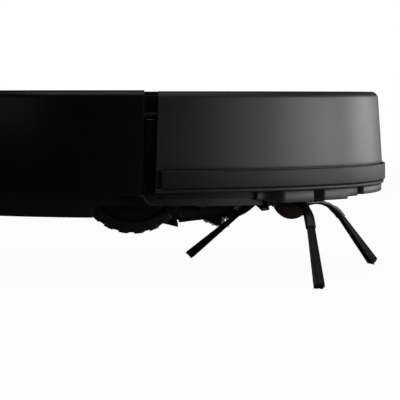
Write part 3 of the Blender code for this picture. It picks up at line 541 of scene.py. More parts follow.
def docking_pane():
    """Smoked pane let into the front of the bumper."""
    low, high = span("docking_window")
    outer_low, outer_high = high.x, high.x - 1.7
    pane = [(170.6, low.z), (outer_low - 0.3, low.z), (outer_low, low.z + 0.4)]
    pane += [(outer_high, high.z - 0.4), (outer_high - 0.3, high.z), (170.6, high.z)]
    build("docking_pane", sweep(pane, at_y(low.y), at_y(high.y), 16), "smoked", "bumper", ["docking_window"],
          bevel=0.5)


def front_skirt():
    """Ring under the bumper with moulded blocks; they are alike on both sides of the machine."""
    ring_r, block_r, inner = 166.0, 174.0, 163.4
    top = span("front_skirt")[1].z

    def block(turn, start, end, soft_start, soft_end):
        rise = smooth(turn, start, start + soft_start)
        fall = smooth(turn, end, end - soft_end)
        return rise * fall

    def outline(turn):
        """Outer radius and underside at an angle from straight ahead, in degrees."""
        turn = abs(turn)
        front = 1.0 - smooth(turn, 28.1, 29.1)
        relief = block(turn, 28.6, 36.4, 0.6, 0.5)
        middle = block(turn, 35.9, 46.8, 0.25, 2.2)
        outer = block(turn, 48.0, 61.2, 0.25, 5.0)
        radius = ring_r + (block_r - ring_r) * max(front, 0.62 * relief, middle, outer ** 1.5)
        under = 9.0 - 1.7 * middle - 2.1 * outer + 0.3 * front - 0.6 * relief
        return radius, under

    rings = []
    steps = 620
    half = 61.7
    for i in range(steps + 1):
        turn = -half + 2 * half * i / steps
        radius, under = outline(turn)
        round_off = min(0.7, radius - ring_r + 0.1)
        section = [(inner, under), (radius - round_off, under), (radius - round_off * 0.3, under + 0.25)]
        section += [(radius, under + 0.8), (radius, top - 0.4), (radius - 0.3, top), (inner, top)]
        a = radians(turn)
        rings.append([(r * cos(a), r * sin(a), z) for r, z in section])
    build("front_skirt_skin", loft(rings), "skirt", "body", ["front_skirt"], crease=40)
    for side, sign in SIDES.items():
        rib = [(TRAY_R - 0.5, 10.6), (TRAY_R + 1.6, 10.6), (TRAY_R + 1.6, 11.8), (TRAY_R - 0.5, 11.8)]
        path = sweep(rib, at_turn(sign * 62.4), at_turn(sign * 84.0), 30)
        build(f"tray_rib_{side}", path, "tray", "body", bevel=0.3)


def side_gap_details():
    """In each vertical gap: a liner with a ledge, and the hook-shaped foot at its lower end."""
    for side, sign in SIDES.items():
        low, high = span(f"gap_liner_{side}")
        back, face, ledge_r = 163.4, 167.4, 168.8
        ledge = 61.8
        profile = [(back, low.z), (face, low.z), (face, ledge - 0.9), (ledge_r, ledge)]
        profile += [(ledge_r, ledge + 1.6), (face - 2.6, ledge + 2.2), (face - 2.6, high.z), (back, high.z)]
        liner = sweep(profile, at_x(high.x, sign), at_x(low.x, sign), 24)
        build(f"gap_liner_skin_{side}", liner, "tray", "body",
              [f"gap_liner_{side}"], bevel=0.25)
        path = [(3.0, 13.3), (5.6, 12.9), *arc((13.6, 14.6), 7.6, 192, 268, 8), (17.0, 7.2)]
        rings = []
        for i, (x, z) in enumerate(path):
            t = i / (len(path) - 1)
            thick = 1.6 - 0.7 * t
            outer = SHELL_R - 1.6 - 0.6 * t
            rings.append([
                (x, sign * TRAY_R * 1.004, z - thick / 2), (x, sign * outer, z - thick / 2),
                (x, sign * outer, z + thick / 2), (x, sign * TRAY_R * 1.004, z + thick / 2),
            ])
        build(f"gap_foot_{side}", loft(rings), "skirt", "body",
              bevel=0.35, segments=3)


def wall_sensor():
    low, high = span("wall_sensor_window")
    radius = hypot(high.x, low.y) - 0.2
    profile = [(radius - 0.9, low.z), (radius, low.z), (radius, high.z), (radius - 0.9, high.z)]
    pane = sweep(profile, at_x(high.x, -1), at_x(low.x, -1), 8)
    build("wall_sensor_pane", pane, "smoked", "body",
          ["wall_sensor_window"], bevel=0.3)


def top_panel():
    """Lid with a rounded rim, a shallow ring groove and a faint crown, cut out for the two buttons."""
    low, high = COVER_LOW.z, COVER_HIGH.z
    rim = COVER_HIGH.x
    groove_r = 118.0
    profile = [(0.0, low), (rim - 0.4, low), (rim, low + 0.4), (rim, high - 1.0)]
    profile += [(rim - 0.3, high - 0.4), (rim - 1.0, high - 0.1), (rim - 2.2, high)]
    profile += [(148.0, high), (133.0, high)]
    profile += [(groove_r + 1.6, high), (groove_r + 1.1, high - 0.7), (groove_r + 0.2, high - 0.7)]
    profile += [(groove_r - 0.4, high)]
    crown = 0.15
    steps = (104.0, 90.0, 76.0, 62.0, 48.0, 34.0, 20.0, 8.0)
    profile += [(r, high + crown * (1 - (r / groove_r) ** 2)) for r in steps]
    profile += [(0.0, high + crown)]
    lid = build("top_panel", revolve(profile, 200), "lid")
    holes = []
    for name in ("power_button", "home_button"):
        a, b = span(name)
        centre = ((a.x + b.x) / 2, (a.y + b.y) / 2)
        holes.append(cylinder((b.x - a.x) / 2 + 0.4, low - 4, high + 4, centre, 64))
    carve(lid, holes)
    add_bevel(lid, 0.25, 2, 50)
    mount(lid, "body", "top_cover")


def buttons():
    """Dished keys; one carries a broken ring with a bar, the other a small gabled outline."""
    for name in ("power_button", "home_button"):
        a, b = span(name)
        radius = (b.x - a.x) / 2
        centre = ((a.x + b.x) / 2, (a.y + b.y) / 2, 0.0)
        top = b.z
        profile = [(0.0, a.z), (radius, a.z), (radius, top - 0.9), (radius - 0.25, top - 0.3)]
        profile += [(radius - 0.9, top), (radius - 1.8, top - 0.15), (3.0, top - 0.45), (0.0, top - 0.5)]
        build(f"{name}_key", revolve(profile, 64, centre), "charcoal", name, [name])
        level = (top - 0.55, top - 0.3)
        if name == "power_button":
            mark = power_mark(level)
        else:
            mark = home_mark(level)
        build(f"{name}_mark", mark, "mark", name, matrix=Matrix.Translation(centre))


def power_mark(level):
    bm = bmesh.new()
    steps, gap = 28, 38
    rings = []
    for i in range(steps + 1):
        a = radians(gap + (360 - 2 * gap) * i / steps)
        rings.append([(r * cos(a), r * sin(a), z) for r, z in
                      ((2.3, level[0]), (2.8, level[0]), (2.8, level[1]), (2.3, level[1]))])
    add_loft(bm, rings)
    add_box(bm, (0.9, 3.4), (-0.25, 0.25), level)
    return bm


def home_mark(level):
    outer = [(-2.0, -1.8), (-2.0, 1.8), (0.4, 1.8), (0.4, 2.5), (2.7, 0.0), (0.4, -2.5), (0.4, -1.8)]
    inner = [(-1.5, -1.3), (-1.5, 1.3), (0.8, 1.3), (0.8, 1.5), (2.1, 0.0), (0.8, -1.5), (0.8, -1.3)]
    bm = bmesh.new()
    count = len(outer)
    layers = []
    for outline in (outer, inner):
        for z in level:
            layers.append([bm.verts.new((x, y, z)) for x, y in outline])
    for i in range(count):
        j = (i + 1) % count
        bm.faces.new((layers[0][i], layers[0][j], layers[1][j], layers[1][i]))
        bm.faces.new((layers[2][j], layers[2][i], layers[3][i], layers[3][j]))
        bm.faces.new((layers[1][i], layers[1][j], layers[3][j], layers[3][i]))
        bm.faces.new((layers[0][j], layers[0][i], layers[2][i], layers[2][j]))
    return bm


# ---------------------------------------------------------------- chassis tray
WELL_X = (-50.0, 43.0)
WELL_Y = (97.5, 130.5)
GEAR_X = 22.0
GEAR_Y = 86.5
PAD_Z = 8.5
SWEEP_R = 44.0
SWEEP_TOP = 11.0
FRONT_X = 97.0
FRONT_FLOOR_Z = (4.0, 6.6)
SLOPE_R = (143.0, 163.0)
SLOPE_Z = 9.0
RUN_OUT_X = (44.5, 97.5)
RUN_OUT_Y = -87.7
RUN_OUT_Z = (5.5, 8.5)


def sided(sign, near, far):
    """The y range between two distances from the middle, on one side of the machine."""
    return sorted((sign * near, sign * far))


def seat(node_name, low, top=None):
    """Opening in the tray round a CAD node, up to a height or to just above the node."""
    gap = 0.3
    a, b = span(node_name)
    return box((a.x - gap, b.x + gap), (a.y - gap, b.y + gap), (low, top or b.z + gap))


def front_slope(low, lift):
    """Ring sector under the front floor's rising edge."""
    inner, outer = SLOPE_R
    rise = (SLOPE_Z - FRONT_FLOOR_Z[0]) / (outer - inner)
    reach = outer + 7.0
    high = FRONT_FLOOR_Z[0] + lift
    profile = [(inner, low), (reach, low), (reach, high + rise * (reach - inner)), (inner, high)]
    return sweep(profile, at_x(FRONT_X, -1), at_x(FRONT_X), 120)


def tray_fillers():
    low = -1.0
    hub = (HUB_AT.x, HUB_AT.y)
    shapes = [
        box((FRONT_X, 200), (-200, 200), (low, FRONT_FLOOR_Z[1])),
        front_slope(low, FRONT_FLOOR_Z[1] - FRONT_FLOOR_Z[0]),
        cylinder(SWEEP_R + 2, low, SWEEP_TOP + 2, hub, 96),
        box((RUN_OUT_X[0] - 2, RUN_OUT_X[1] + 2), (-200, RUN_OUT_Y + 2), (low, RUN_OUT_Z[1])),
    ]
    for sign in SIDES.values():
        shapes.append(box((WELL_X[0] - 4, GEAR_X + 2), sided(sign, GEAR_Y - 2, 200), (low, PAD_Z)))
        shapes.append(box((GEAR_X, WELL_X[1] + 4), sided(sign, WELL_Y[0] - 2, 200), (low, PAD_Z + 0.01)))
        shapes.append(box((84, 93), sided(sign, 85.3, 87.7), (low, 19)))
    return shapes


def tray_cutters():
    low = -5.0
    hub = (HUB_AT.x, HUB_AT.y)
    shapes = [
        box((24.5, 93.8), (-85.2, 85.2), (low, 20)),
        box((FRONT_X, 200), (-200, 200), (low, FRONT_FLOOR_Z[0])),
        front_slope(low, 0.0),
        box(RUN_OUT_X, (-200, RUN_OUT_Y), (low, RUN_OUT_Z[0])),
        cylinder(SWEEP_R, low, SWEEP_TOP, hub, 96),
        cylinder(5.0, 5.0, 20.0, hub, 32),
        box((-76, 12), (-33, 33), (low, 30)),
        seat("battery_cover", low, 2.1),
        cylinder(20.3, low, 12.0, (CASTER_AT.x, 0.0), 96),
        box((-200, -100), (-86, 86), (14, 90)),
        cylinder(2.3, -95, 95, (HEAD_AT.x, HEAD_AT.z), 24, "Y"),
    ]
    for side, sign in SIDES.items():
        shapes.append(box(WELL_X, sided(sign, WELL_Y[0], WELL_Y[1]), (low, 20)))
        shapes.append(box((WELL_X[0] + 0.01, GEAR_X), sided(sign, GEAR_Y, WELL_Y[0] + 1), (low, 20.01)))
        shapes.append(arch_cutter(sign))
        shapes.append(seat(f"charge_contact_{side}", low))
    for place in ("front", "left", "right"):
        shapes.append(seat(f"cliff_sensor_{place}", low))
    for x in (-118, -127, -136):
        for y in (-26, -13, 0, 13, 26):
            shapes.append(box((x - 1.2, x + 1.2), (y - 4.5, y + 4.5), (low, 1.2)))
    return shapes


def arch_cutter(sign):
    """Opening in the tray's lower edge beside a wheel, with sloping ends."""
    outline = [(-34, -5), (-34, 0.0), (-26, 5.0), (-22, 6.0), (38, 6.0), (44, 5.0), (52, 0.0), (52, -5)]
    return prism(outline, *sided(sign, WELL_Y[1] - 2, 200), "Y")


def tray():
    """Round tray: rounded lower edge, floor, well openings, raised bay over the side brush."""
    top = span("chassis")[1].z
    outer = [(0.0, 0.0), (TRAY_R - 1.2, 0.0), (TRAY_R - 0.35, 0.35), (TRAY_R, 1.2)]
    outer += [(TRAY_R, top), (0.0, top)]
    body = build("tray_skin", revolve(outer, 200), "tray")
    hollow = build("tray_hollow", cylinder(TRAY_R - 2.5, 3.0, top + 10, steps=200), "tray")
    carve(hollow, tray_fillers())
    modifier = body.modifiers.new("hollow", "BOOLEAN")
    modifier.operation = "DIFFERENCE"
    modifier.solver = "EXACT"
    modifier.object = hollow
    carve(body, tray_cutters())
    bpy.data.objects.remove(hollow)
    mount(body, "body", "chassis")


def screw(name, at, body, radius=3.2):
    """Pan-head screw with a six-lobed recess, its head facing down."""
    lobes = [((1.1 + 0.28 * cos(6 * a)) * cos(a), (1.1 + 0.28 * cos(6 * a)) * sin(a))
             for a in (2 * pi * i / 36 for i in range(36))]
    head = [(0.0, 0.0), (radius, 0.0), (radius, -0.7), (radius - 0.6, -1.2)]
    head += [(radius - 1.2, -1.4), (0.0, -1.4)]
    obj = build(name, revolve(head, 36), "steel")
    carve(obj, [prism(lobes, -3.0, -0.6)])
    obj.data.transform(Matrix.Translation(Vector(at) * MM))
    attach(obj, body)


def floor_rim(side, sign):
    """Raised rim under the rear edge of the floor, from behind a wheel to the bin."""
    low = -1.4
    profile = [(TRAY_R - 9.0, 0.4), (TRAY_R - 8.4, low + 0.4), (TRAY_R - 7.8, low), (TRAY_R - 1.6, low)]
    profile += [(TRAY_R - 0.9, low + 0.3), (TRAY_R - 0.3, low + 1.0)]
    profile += [(TRAY_R - 0.3, 8.0), (TRAY_R - 3.0, 8.0)]
    path = sweep(profile, at_x(-25.2, sign), at_turn(sign * 172.0), 90)
    build(f"floor_rim_{side}", path, "tray", "body", crease=50)


def floor_skid(side, sign):
    """Runner beside the opening of the brush head, with sloping ends."""
    low, high = span("skid")
    outline = [(low.x, high.z), (low.x, -4.2), (low.x + 1.2, -6.2), (low.x + 3.4, low.z)]
    outline += [(high.x - 1.6, low.z), (high.x, -5.4), (high.x, high.z)]
    y = sided(sign, -low.y, -high.y)
    nodes = ["skid"] if sign < 0 else []
    build(f"floor_skid_{side}", prism(outline, *y, "Y"), "tray", "body", nodes, bevel=0.4)


def underside_details():
    """Battery cover with grip slots and screws, screw pads over the floor, rails, rims and skids."""
    low, high = span("battery_cover")
    cover = build("battery_cover_skin", box((low.x, high.x), (low.y, high.y), (low.z, high.z)), "tray")
    grip = [box((low.x + 4, low.x + 10), (y - 5, y + 5), (-2, 0.9)) for y in (-18, 0, 18)]
    lines = [box((low.x + 20, high.x - 8), (y - 0.5, y + 0.5), (-2, 0.35)) for y in (-24, -16, 16, 24)]
    carve(cover, grip + lines)
    add_bevel(cover, 0.3, 2, 40)
    mount(cover, "body", "battery_cover")
    pads = [(-95, 62), (-95, -62), (-150, 0), (-60, 120), (-60, -120)]
    pads += [(70, 110), (108, 66), (-120, -90), (-120, 90)]
    for i, (x, y) in enumerate(pads):
        ring = [(4.2, 0.1), (6.2, 0.1), (6.2, -0.5), (5.8, -0.8), (4.6, -0.8), (4.2, -0.5)]
        floor_z = FRONT_FLOOR_Z[0] if x > FRONT_X else 0.0
        place = Matrix.Translation((x, y, floor_z))
        build(f"screw_pad_{i + 1}", revolve(ring, 48), "tray", "body", matrix=place)
        screw(f"floor_screw_{i + 1}", (x, y, floor_z + 0.7), "body")
    for i, (x, y) in enumerate(((-40, 32.8), (-40, -32.8))):
        screw(f"cover_screw_{i + 1}", (x, y, 0.9), "body", 2.6)
    for side, sign in SIDES.items():
        rail = box((-150, -92), sided(sign, 44, 45.2), (-0.5, 0.4))
        build(f"floor_rail_{side}", rail, "tray", "body", bevel=0.25)
        floor_rim(side, sign)
        floor_skid(side, sign)


# ---------------------------------------------------------------- wheels
def tread_relief(radius, height, angle, width):
    """Lobed blocks in two staggered rows, with a narrow groove between the rows."""
    lugs = 22
    across = 2 * height / width
    stagger = pi / lugs if across > 0 else 0.0
    wave = 0.5 + 0.5 * cos(lugs * (angle + stagger + 0.05 * abs(across)))
    block = smooth(wave, 0.16, 0.42)
    centre = smooth(abs(across), 0.05, 0.12)
    return radius - 3.1 * (1 - block * centre)


def wheel(side, sign):
    body = f"{side}_wheel"
    low, high = span(f"{side}_wheel_tyre")
    centre = (low + high) / 2
    width = high.y - low.y
    radius = (high.z - low.z) / 2
    hub_r = 28.0
    half = width / 2
    wall = [(hub_r + 0.3, half - 0.6), (hub_r + 1.0, half), (radius - 4.4, half), (radius - 3.4, half - 0.4)]
    tread = [half - 1.2, half - 2.6, half - 5, half - 9, 1.9, 0.9]
    profile = [(r, -y) for r, y in wall]
    for y in [-y for y in tread] + tread[::-1]:
        edge = 1.3 if abs(y) == half - 1.2 else 0.0
        profile.append((radius - edge, y))
    profile += wall[::-1]

    def relief(r, y, angle):
        if r < radius - 2.0:
            return r
        return tread_relief(r, y, angle, width)

    place = tuple(centre)
    tyre = revolve(profile, 264, place, "Y", relief)
    build(f"{side}_tyre_skin", tyre, "tyre", body, [f"{side}_wheel_tyre"], crease=38)
    wheel_hub(side, sign, body, place, half)


def wheel_hub(side, sign, body, place, half):
    """Nearly flat hub face with five short slots round a domed cap; sign points outward."""
    out = half - 0.6
    rim = 24.4
    profile = [(3.4, -out), (8.0, -out), (8.0, -4.0), (rim, -4.0), (rim, -out), (27.7, -out)]
    profile += [(27.7, out - 0.7), (27.2, out), (26.6, out), (26.3, out - 0.4)]
    profile += [(25.9, out - 0.1), (16.0, out - 0.4)]
    profile += [(15.4, out - 1.2), (8.4, out - 1.6), (8.0, out - 0.8), (7.2, out - 0.6), (3.4, out - 0.6)]
    flip = Matrix.Identity(4) if sign > 0 else Matrix.Diagonal((1, -1, 1, 1))
    hub = build(f"{side}_hub_skin", revolve(profile, 120, axis="Y"), "tray", matrix=flip)
    slots = []
    for i in range(5):
        a = 2 * pi * i / 5 + 0.3
        outline = arc((0.0, 0.0), 9.4, degrees(a) - 20, degrees(a) + 20, 6)
        outline += arc((0.0, 0.0), 14.4, degrees(a) + 26, degrees(a) - 26, 8)
        slots.append(prism(outline, *sided(sign, half - 5, half + 5), "Y"))
    carve(hub, slots)
    add_bevel(hub, 0.4, 2, 40)
    hub.data.transform(Matrix.Translation(Vector(place) * MM))
    mount(hub, body, f"{side}_wheel_hub")
    cap = [(0.0, out - 3.0), (6.6, out - 3.0), (6.6, out - 1.0), (6.0, out - 0.5)]
    cap += [(3.0, out - 0.3), (0.0, out - 0.25)]
    build(f"{side}_hub_cap", revolve(cap, 48, axis="Y"), "charcoal", body,
          matrix=Matrix.Translation(place) @ flip)


def caster():
    low, high = span("caster_wheel")
    radius = (high.z - low.z) / 2
    half = (high.y - low.y) / 2
    edge = 2.5
    wall = [(1.8, half - 1.2), (4.0, half - 1.2), (5.0, half)]
    wall += arc((radius - edge, half - edge), edge, 90, 0, 8)
    profile = [(r, -y) for r, y in wall]
    profile += arc((radius - edge, half - edge), edge, 0, 90, 8)
    profile += [(5.0, half), (4.0, half - 1.2), (1.8, half - 1.2)]
    build("caster_roller", revolve(profile, 96, tuple(CASTER_WHEEL_AT), "Y"), "caster", "caster_wheel",
          ["caster_wheel"])
    centre = (CASTER_AT.x, 0.0, 0.0)
    plate = [(0.0, 15.2), (12.2, 15.2), (13.0, 15.9), (13.0, 17.0)]
    plate += [(12.4, 17.6), (4.0, 17.6), (4.0, 25.6), (0.0, 25.6)]
    fork = build("caster_fork_skin", revolve(plate, 72, centre), "tray")
    cheeks = []
    for sign in SIDES.values():
        x, z = CASTER_WHEEL_AT.x, CASTER_WHEEL_AT.z
        outline = [*arc((x, z + 1.0), 5.0, 200, 340, 10), (CASTER_AT.x + 7, 15.8), (CASTER_AT.x - 8, 15.8)]
        cheeks.append(prism(outline, *sided(sign, half + 0.8, half + 3.0), "Y"))
    carve(fork, [], cheeks)
    add_bevel(fork, 0.35, 2, 45)
    mount(fork, "caster_fork", "caster_fork")
    cup_r = 20.3
    cup = [(4.4, 26.0), (4.4, 18.5), (cup_r - 1.0, 18.5), (cup_r, 17.5), (cup_r, 4.9), (cup_r + 2, 4.9)]
    cup += [(cup_r + 2, 20.5), (9.0, 20.5), (9.0, 26.0)]
    build("caster_cup", revolve(cup, 96, centre), "tray", "body", ["caster_socket"])


# ---------------------------------------------------------------- main-brush head
def head_matrix():
    """From the level head's own position to where it hangs at rest."""
    tilt = Matrix.Rotation(-radians(HEAD_DROOP), 4, "Y")
    return Matrix.Translation(HEAD_AT) @ tilt @ Matrix.Translation(-HEAD_AT)


def brush_head():
    place = head_matrix()
    sweep_low = cylinder(SWEEP_R, -30, 8, (HUB_AT.x, HUB_AT.y), 96)
    housing = build("brush_housing_skin", box((27, 91), (-84, 84), (0, 43.5)), "tray", matrix=place)
    inside = box((29, 89), (-82, 82), (-10, 41.5))
    mouth = box((20, 40), (-22, 22), (22, 40))
    pin = cylinder(2.0, -87.4, 87.4, (HEAD_AT.x, HEAD_AT.z), 32, "Y")
    for shape in (inside, mouth, pin):
        bmesh.ops.transform(shape, matrix=place, verts=shape.verts)
    carve(housing, [inside, mouth, sweep_low], [pin])
    mount(housing, "brush_head", "brush_housing")

    guard = build("brush_guard_skin", box((28, 90), (-82, 82), (-2.5, -0.3)), "tray", matrix=place)
    opening = box((33.5, 84.5), (-76, 76), (-10, 10))
    bmesh.ops.transform(opening, matrix=place, verts=opening.verts)
    carve(guard, [opening, cylinder(SWEEP_R, -30, 8, (HUB_AT.x, HUB_AT.y), 96)])
    add_bevel(guard, 0.5, 2, 40)
    mount(guard, "brush_head", "brush_guard")

    lip = [(16.4, -1.7), (26.6, -5.5), (27.3, -5.8), (27.6, -2.8), (16.8, -0.9)]
    build("scraper_lip_skin", prism(lip, -78, 78, "Y"), "fin", "brush_head", ["brush_scraper_lip"],
          bevel=0.2, matrix=place)
    for i, y in enumerate((-70, -35, 35, 70)):
        tab = box((28.5, 33.0), (y - 4, y + 4), (-3.1, -2.3))
        build(f"guard_tab_{i + 1}", tab, "skirt", "brush_head",
              bevel=0.3, matrix=place)
    roller(place)


def roller(place):
    """Roller: plain core, six soft fins that follow a shallow V, and three rows of bristle tufts."""
    end = span("main_brush")[1].y
    half, core, tip = 75.0, 13.6, 24.0
    spin = Matrix.Translation(ROLLER_AT) @ Matrix.Rotation(-radians(HEAD_DROOP), 4, "Y")
    profile = [(0.0, -end), (3.6, -end), (4.0, -end + 0.4), (4.0, -half - 2.5), (11.0, -half - 2.5)]
    profile += [(core, -half - 1.0), (core, half + 1.0), (11.0, half + 2.5), (4.0, half + 2.5)]
    profile += [(4.0, end - 0.4), (3.6, end), (0.0, end)]
    build("roller_core", revolve(profile, 72, axis="Y"), "fin", "main_brush", ["main_brush"],
          matrix=spin, crease=30)
    fins = bmesh.new()
    tufts = bmesh.new()
    spans = 60
    fin_count = 6
    for fin in range(fin_count):
        rings = []
        for i in range(spans + 1):
            y = -half + 2 * half * i / spans
            base = 2 * pi * fin / fin_count + fin_twist(y, half)
            ring = []
            for radius, lean, thick in ((core - 0.6, 0.0, 2.4), (19.0, 0.05, 1.7), (tip - 0.4, 0.11, 1.2)):
                ring.append((radius, base + lean - thick / 2 / radius, y))
            for radius, lean, thick in ((tip, 0.11, 0.8), (19.0, 0.05, 1.7), (core - 0.6, 0.0, 2.4)):
                ring.append((radius, base + lean + thick / 2 / radius, y))
            rings.append([(r * cos(a), y0, r * sin(a)) for r, a, y0 in ring])
        add_loft(fins, rings)
    build("roller_fins", fins, "fin", "main_brush", matrix=spin, crease=40)
    rng = random.Random(7)
    for row in range(3):
        for i in range(38):
            y = -half + 1.5 + (2 * half - 3) * i / 37
            angle = 2 * pi * (row * 2 + 1) / fin_count + fin_twist(y, half) + 0.22
            for _ in range(16):
                bristle(tufts, y, angle, core - 0.4, tip + 1.6, rng)
    build("roller_bristles", tufts, "grey_nylon", "main_brush", matrix=spin)


def fin_twist(y, half):
    return radians(21.0 + 55.0 * abs(y) / half)


def bristle(bm, y, angle, root, tip, rng):
    """One bristle of a roller tuft: a thin three-sided spike that splays a little."""
    splay_y = rng.uniform(-1.3, 1.3)
    splay_a = rng.uniform(-0.14, 0.14)
    length = tip - rng.uniform(0.0, 1.0)
    rings = []
    for radius, share in ((root, 0.0), (length, 1.0)):
        a = angle + splay_a * (0.3 + 0.7 * share)
        yy = y + splay_y * (0.3 + 0.7 * share)
        centre = Vector((radius * cos(a), yy, radius * sin(a)))
        side = Vector((-sin(a), 0.0, cos(a)))
        thick = 0.3 - 0.08 * share
        rings.append([
            centre + side * thick * cos(t) + Vector((0, thick, 0)) * sin(t)
            for t in (0.0, 2 * pi / 3, 4 * pi / 3)
        ])
    add_loft(bm, rings)


# ---------------------------------------------------------------- side brush
ARM_BEND_START = 14.0
ARM_BEND_R = 36.0
ARM_BEND = 46.0
ARM_HEIGHT = 5.0
SLEEVE_END = 39.6
BRISTLE_TIP = (73.2, -37.9)


def brush_matrix(angle=0.0):
    tilt = Vector((0, 0, 1)).rotation_difference(BRUSH_AXIS).to_matrix().to_4x4()
    return Matrix.Translation(HUB_AT) @ tilt @ Matrix.Rotation(angle, 4, "Z")


def arm_centre(reach):
    """Height and slope of an arm's centreline at a distance from the axis."""
    if reach <= ARM_BEND_START:
        return ARM_HEIGHT, 0.0
    end = ARM_BEND_START + ARM_BEND_R * sin(radians(ARM_BEND))
    if reach <= end:
        bend = asin((reach - ARM_BEND_START) / ARM_BEND_R)
        return ARM_HEIGHT - ARM_BEND_R * (1 - cos(bend)), -bend
    height = ARM_HEIGHT - ARM_BEND_R * (1 - cos(radians(ARM_BEND)))
    slope = atan2(BRISTLE_TIP[1] - height, BRISTLE_TIP[0] - end)
    return height + (reach - end) * tan(slope), slope


def side_brush():
    place = brush_matrix()
    profile = [(0.0, 2.2), (2.2, 2.2), (2.4, 2.9), (2.6, 2.9), (3.1, 2.3), (5.2, 2.5), (6.8, 3.3)]
    profile += [(7.6, 4.2), (7.8, 5.2), (7.8, 7.2), (7.2, 8.4), (6.2, 9.2)]
    profile += [(2.6, 9.4), (2.6, 12.4), (2.2, 12.6), (0.0, 12.6)]
    build("side_brush_hub_skin", revolve(profile, 64), "rubber", "side_brush", ["side_brush_hub"],
          matrix=place)
    first = joint("side_brush_flex_1")[0] - HUB_AT
    flat = brush_matrix().to_3x3().inverted() @ first
    base = atan2(flat.y, flat.x)
    rng = random.Random(3)
    for i in range(3):
        arm_matrix = brush_matrix(base + 2 * pi * i / 3)
        side_brush_arm(i + 1, arm_matrix)
        side_brush_tuft(i + 1, arm_matrix, rng)


def side_brush_arm(number, place):
    """Rubber sleeve: wide root, a thin neck with three ribs where it is bent down, and a socket that grips
    the tuft.
    """
    rings = []
    steps = 44
    start = 7.4
    for i in range(steps + 1):
        reach = start + (SLEEVE_END - start) * i / steps
        height, slope = arm_centre(reach)
        neck = smooth(reach, 13, 17) * (1 - smooth(reach, 24, 29))
        width = 6.3 + 1.6 * (1 - smooth(reach, 8, 13)) - 0.9 * neck
        thick = 2.6 + 1.4 * smooth(reach, 29, 33) + 0.7 * (1 - smooth(reach, 8, 12))
        if 15 < reach < 28:
            thick += 0.35 * max(0.0, cos((reach - 17.5) * 2 * pi / 4.2))
        at = Vector((reach, 0.0, height))
        up = Vector((-sin(slope), 0.0, cos(slope)))
        ring = []
        for k in range(16):
            a = 2 * pi * k / 16
            across = abs(cos(a)) ** 0.45 * (1 if cos(a) >= 0 else -1) * width / 2
            high = abs(sin(a)) ** 0.45 * (1 if sin(a) >= 0 else -1) * thick / 2
            ring.append(at + Vector((0, across, 0)) + up * high)
        rings.append(ring)
    arm = build(f"side_brush_sleeve_{number}", loft(rings), "rubber", matrix=place, crease=50)
    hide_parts(f"side_brush_arm_{number}")
    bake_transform(arm)


def side_brush_tuft(number, place, rng):
    """Bundle of filaments that leaves the sleeve flat and fans out a little towards its tip."""
    bm = bmesh.new()
    across_count, through_count = 13, 8
    root = SLEEVE_END - 3.5
    for i in range(across_count):
        for j in range(through_count):
            across = (i + 0.5 + rng.uniform(-0.3, 0.3)) / across_count * 2 - 1
            through = (j + 0.5 + rng.uniform(-0.3, 0.3)) / through_count * 2 - 1
            filament(bm, across, through, root, rng)
    build(f"side_brush_tuft_{number}", bm, "nylon", f"side_brush_flex_{number}",
          [f"side_brush_bristles_{number}"], matrix=place, crease=60)


def filament(bm, across, through, root, rng):
    tip = BRISTLE_TIP[0] - rng.uniform(0.0, 0.9)
    wander = rng.uniform(-0.25, 0.25)
    rings = []
    for share in (0.0, 0.14, 0.45, 0.75, 1.0):
        reach = root + (tip - root) * share
        height, slope = arm_centre(reach)
        half_width = 2.3 + 0.85 * share
        half_thick = 0.9 + 1.7 * share
        up = Vector((-sin(slope), 0.0, cos(slope)))
        centre = Vector((reach, across * half_width + wander * share, height)) + up * through * half_thick
        thick = 0.34 - 0.04 * share
        rings.append([
            centre + Vector((0, thick * cos(t), 0)) + up * thick * sin(t)
            for t in (2 * pi * k / 5 for k in range(5))
        ])
    add_loft(bm, rings)


# ---------------------------------------------------------------- dust bin
def bin_outline(margin, front, steps=56):
    half = span("dust_bin")[1].y - margin
    radius = SHELL_R - margin
    edge = asin(half / radius)
    rear = []
    for i in range(steps + 1):
        angle = pi - edge + 2 * edge * i / steps
        rear.append((radius * cos(angle), radius * sin(angle)))
    return [(front, half), *rear, (front, -half)]


def dust_bin():
    low, high = span("dust_bin")
    front = high.x
    tub = build("bin_tub", prism(bin_outline(0.0, front), low.z, high.z), "bin")
    latch_low, latch_high = span("bin_latch")
    gap = 0.4
    carve(tub, [
        prism(bin_outline(2.0, front - 2.0), low.z + 2, high.z + 5),
        box((-90, -70), (-22, 22), (35, 54)),
        box((-90, -70), (40, 76), (20, 58)),
        box((-190, -160), (latch_low.y - gap, latch_high.y + gap), (latch_low.z - gap, latch_high.z + gap)),
    ])
    add_bevel(tub, 0.5, 3, 40)
    mount(tub, "dust_bin", "dust_bin")
    lid_low, lid_high = span("dust_bin_lid")
    lid = build("bin_lid", prism(bin_outline(0.0, front), lid_low.z, lid_high.z), "bin")
    carve(lid, [prism(bin_outline(9.0, front - 9.0), lid_high.z - 0.5, lid_high.z + 5)])
    add_bevel(lid, 0.4, 3, 40)
    mount(lid, "dust_bin", "dust_bin_lid")
    bin_latch(latch_low, latch_high)
    bin_filter()


def bin_latch(low, high):
    key = build("bin_latch_key", box((low.x + 0.2, high.x), (low.y, high.y), (low.z, high.z)), "charcoal")
    ribs = [box((low.x - 2, low.x + 0.9), (low.y + 4, high.y - 4), (z, z + 0.7)) for z in
            (low.z + 2.6, low.z + 4.6, low.z + 6.6)]
    carve(key, ribs)
    add_bevel(key, 0.6, 3, 40)
    mount(key, "bin_latch", "bin_latch")


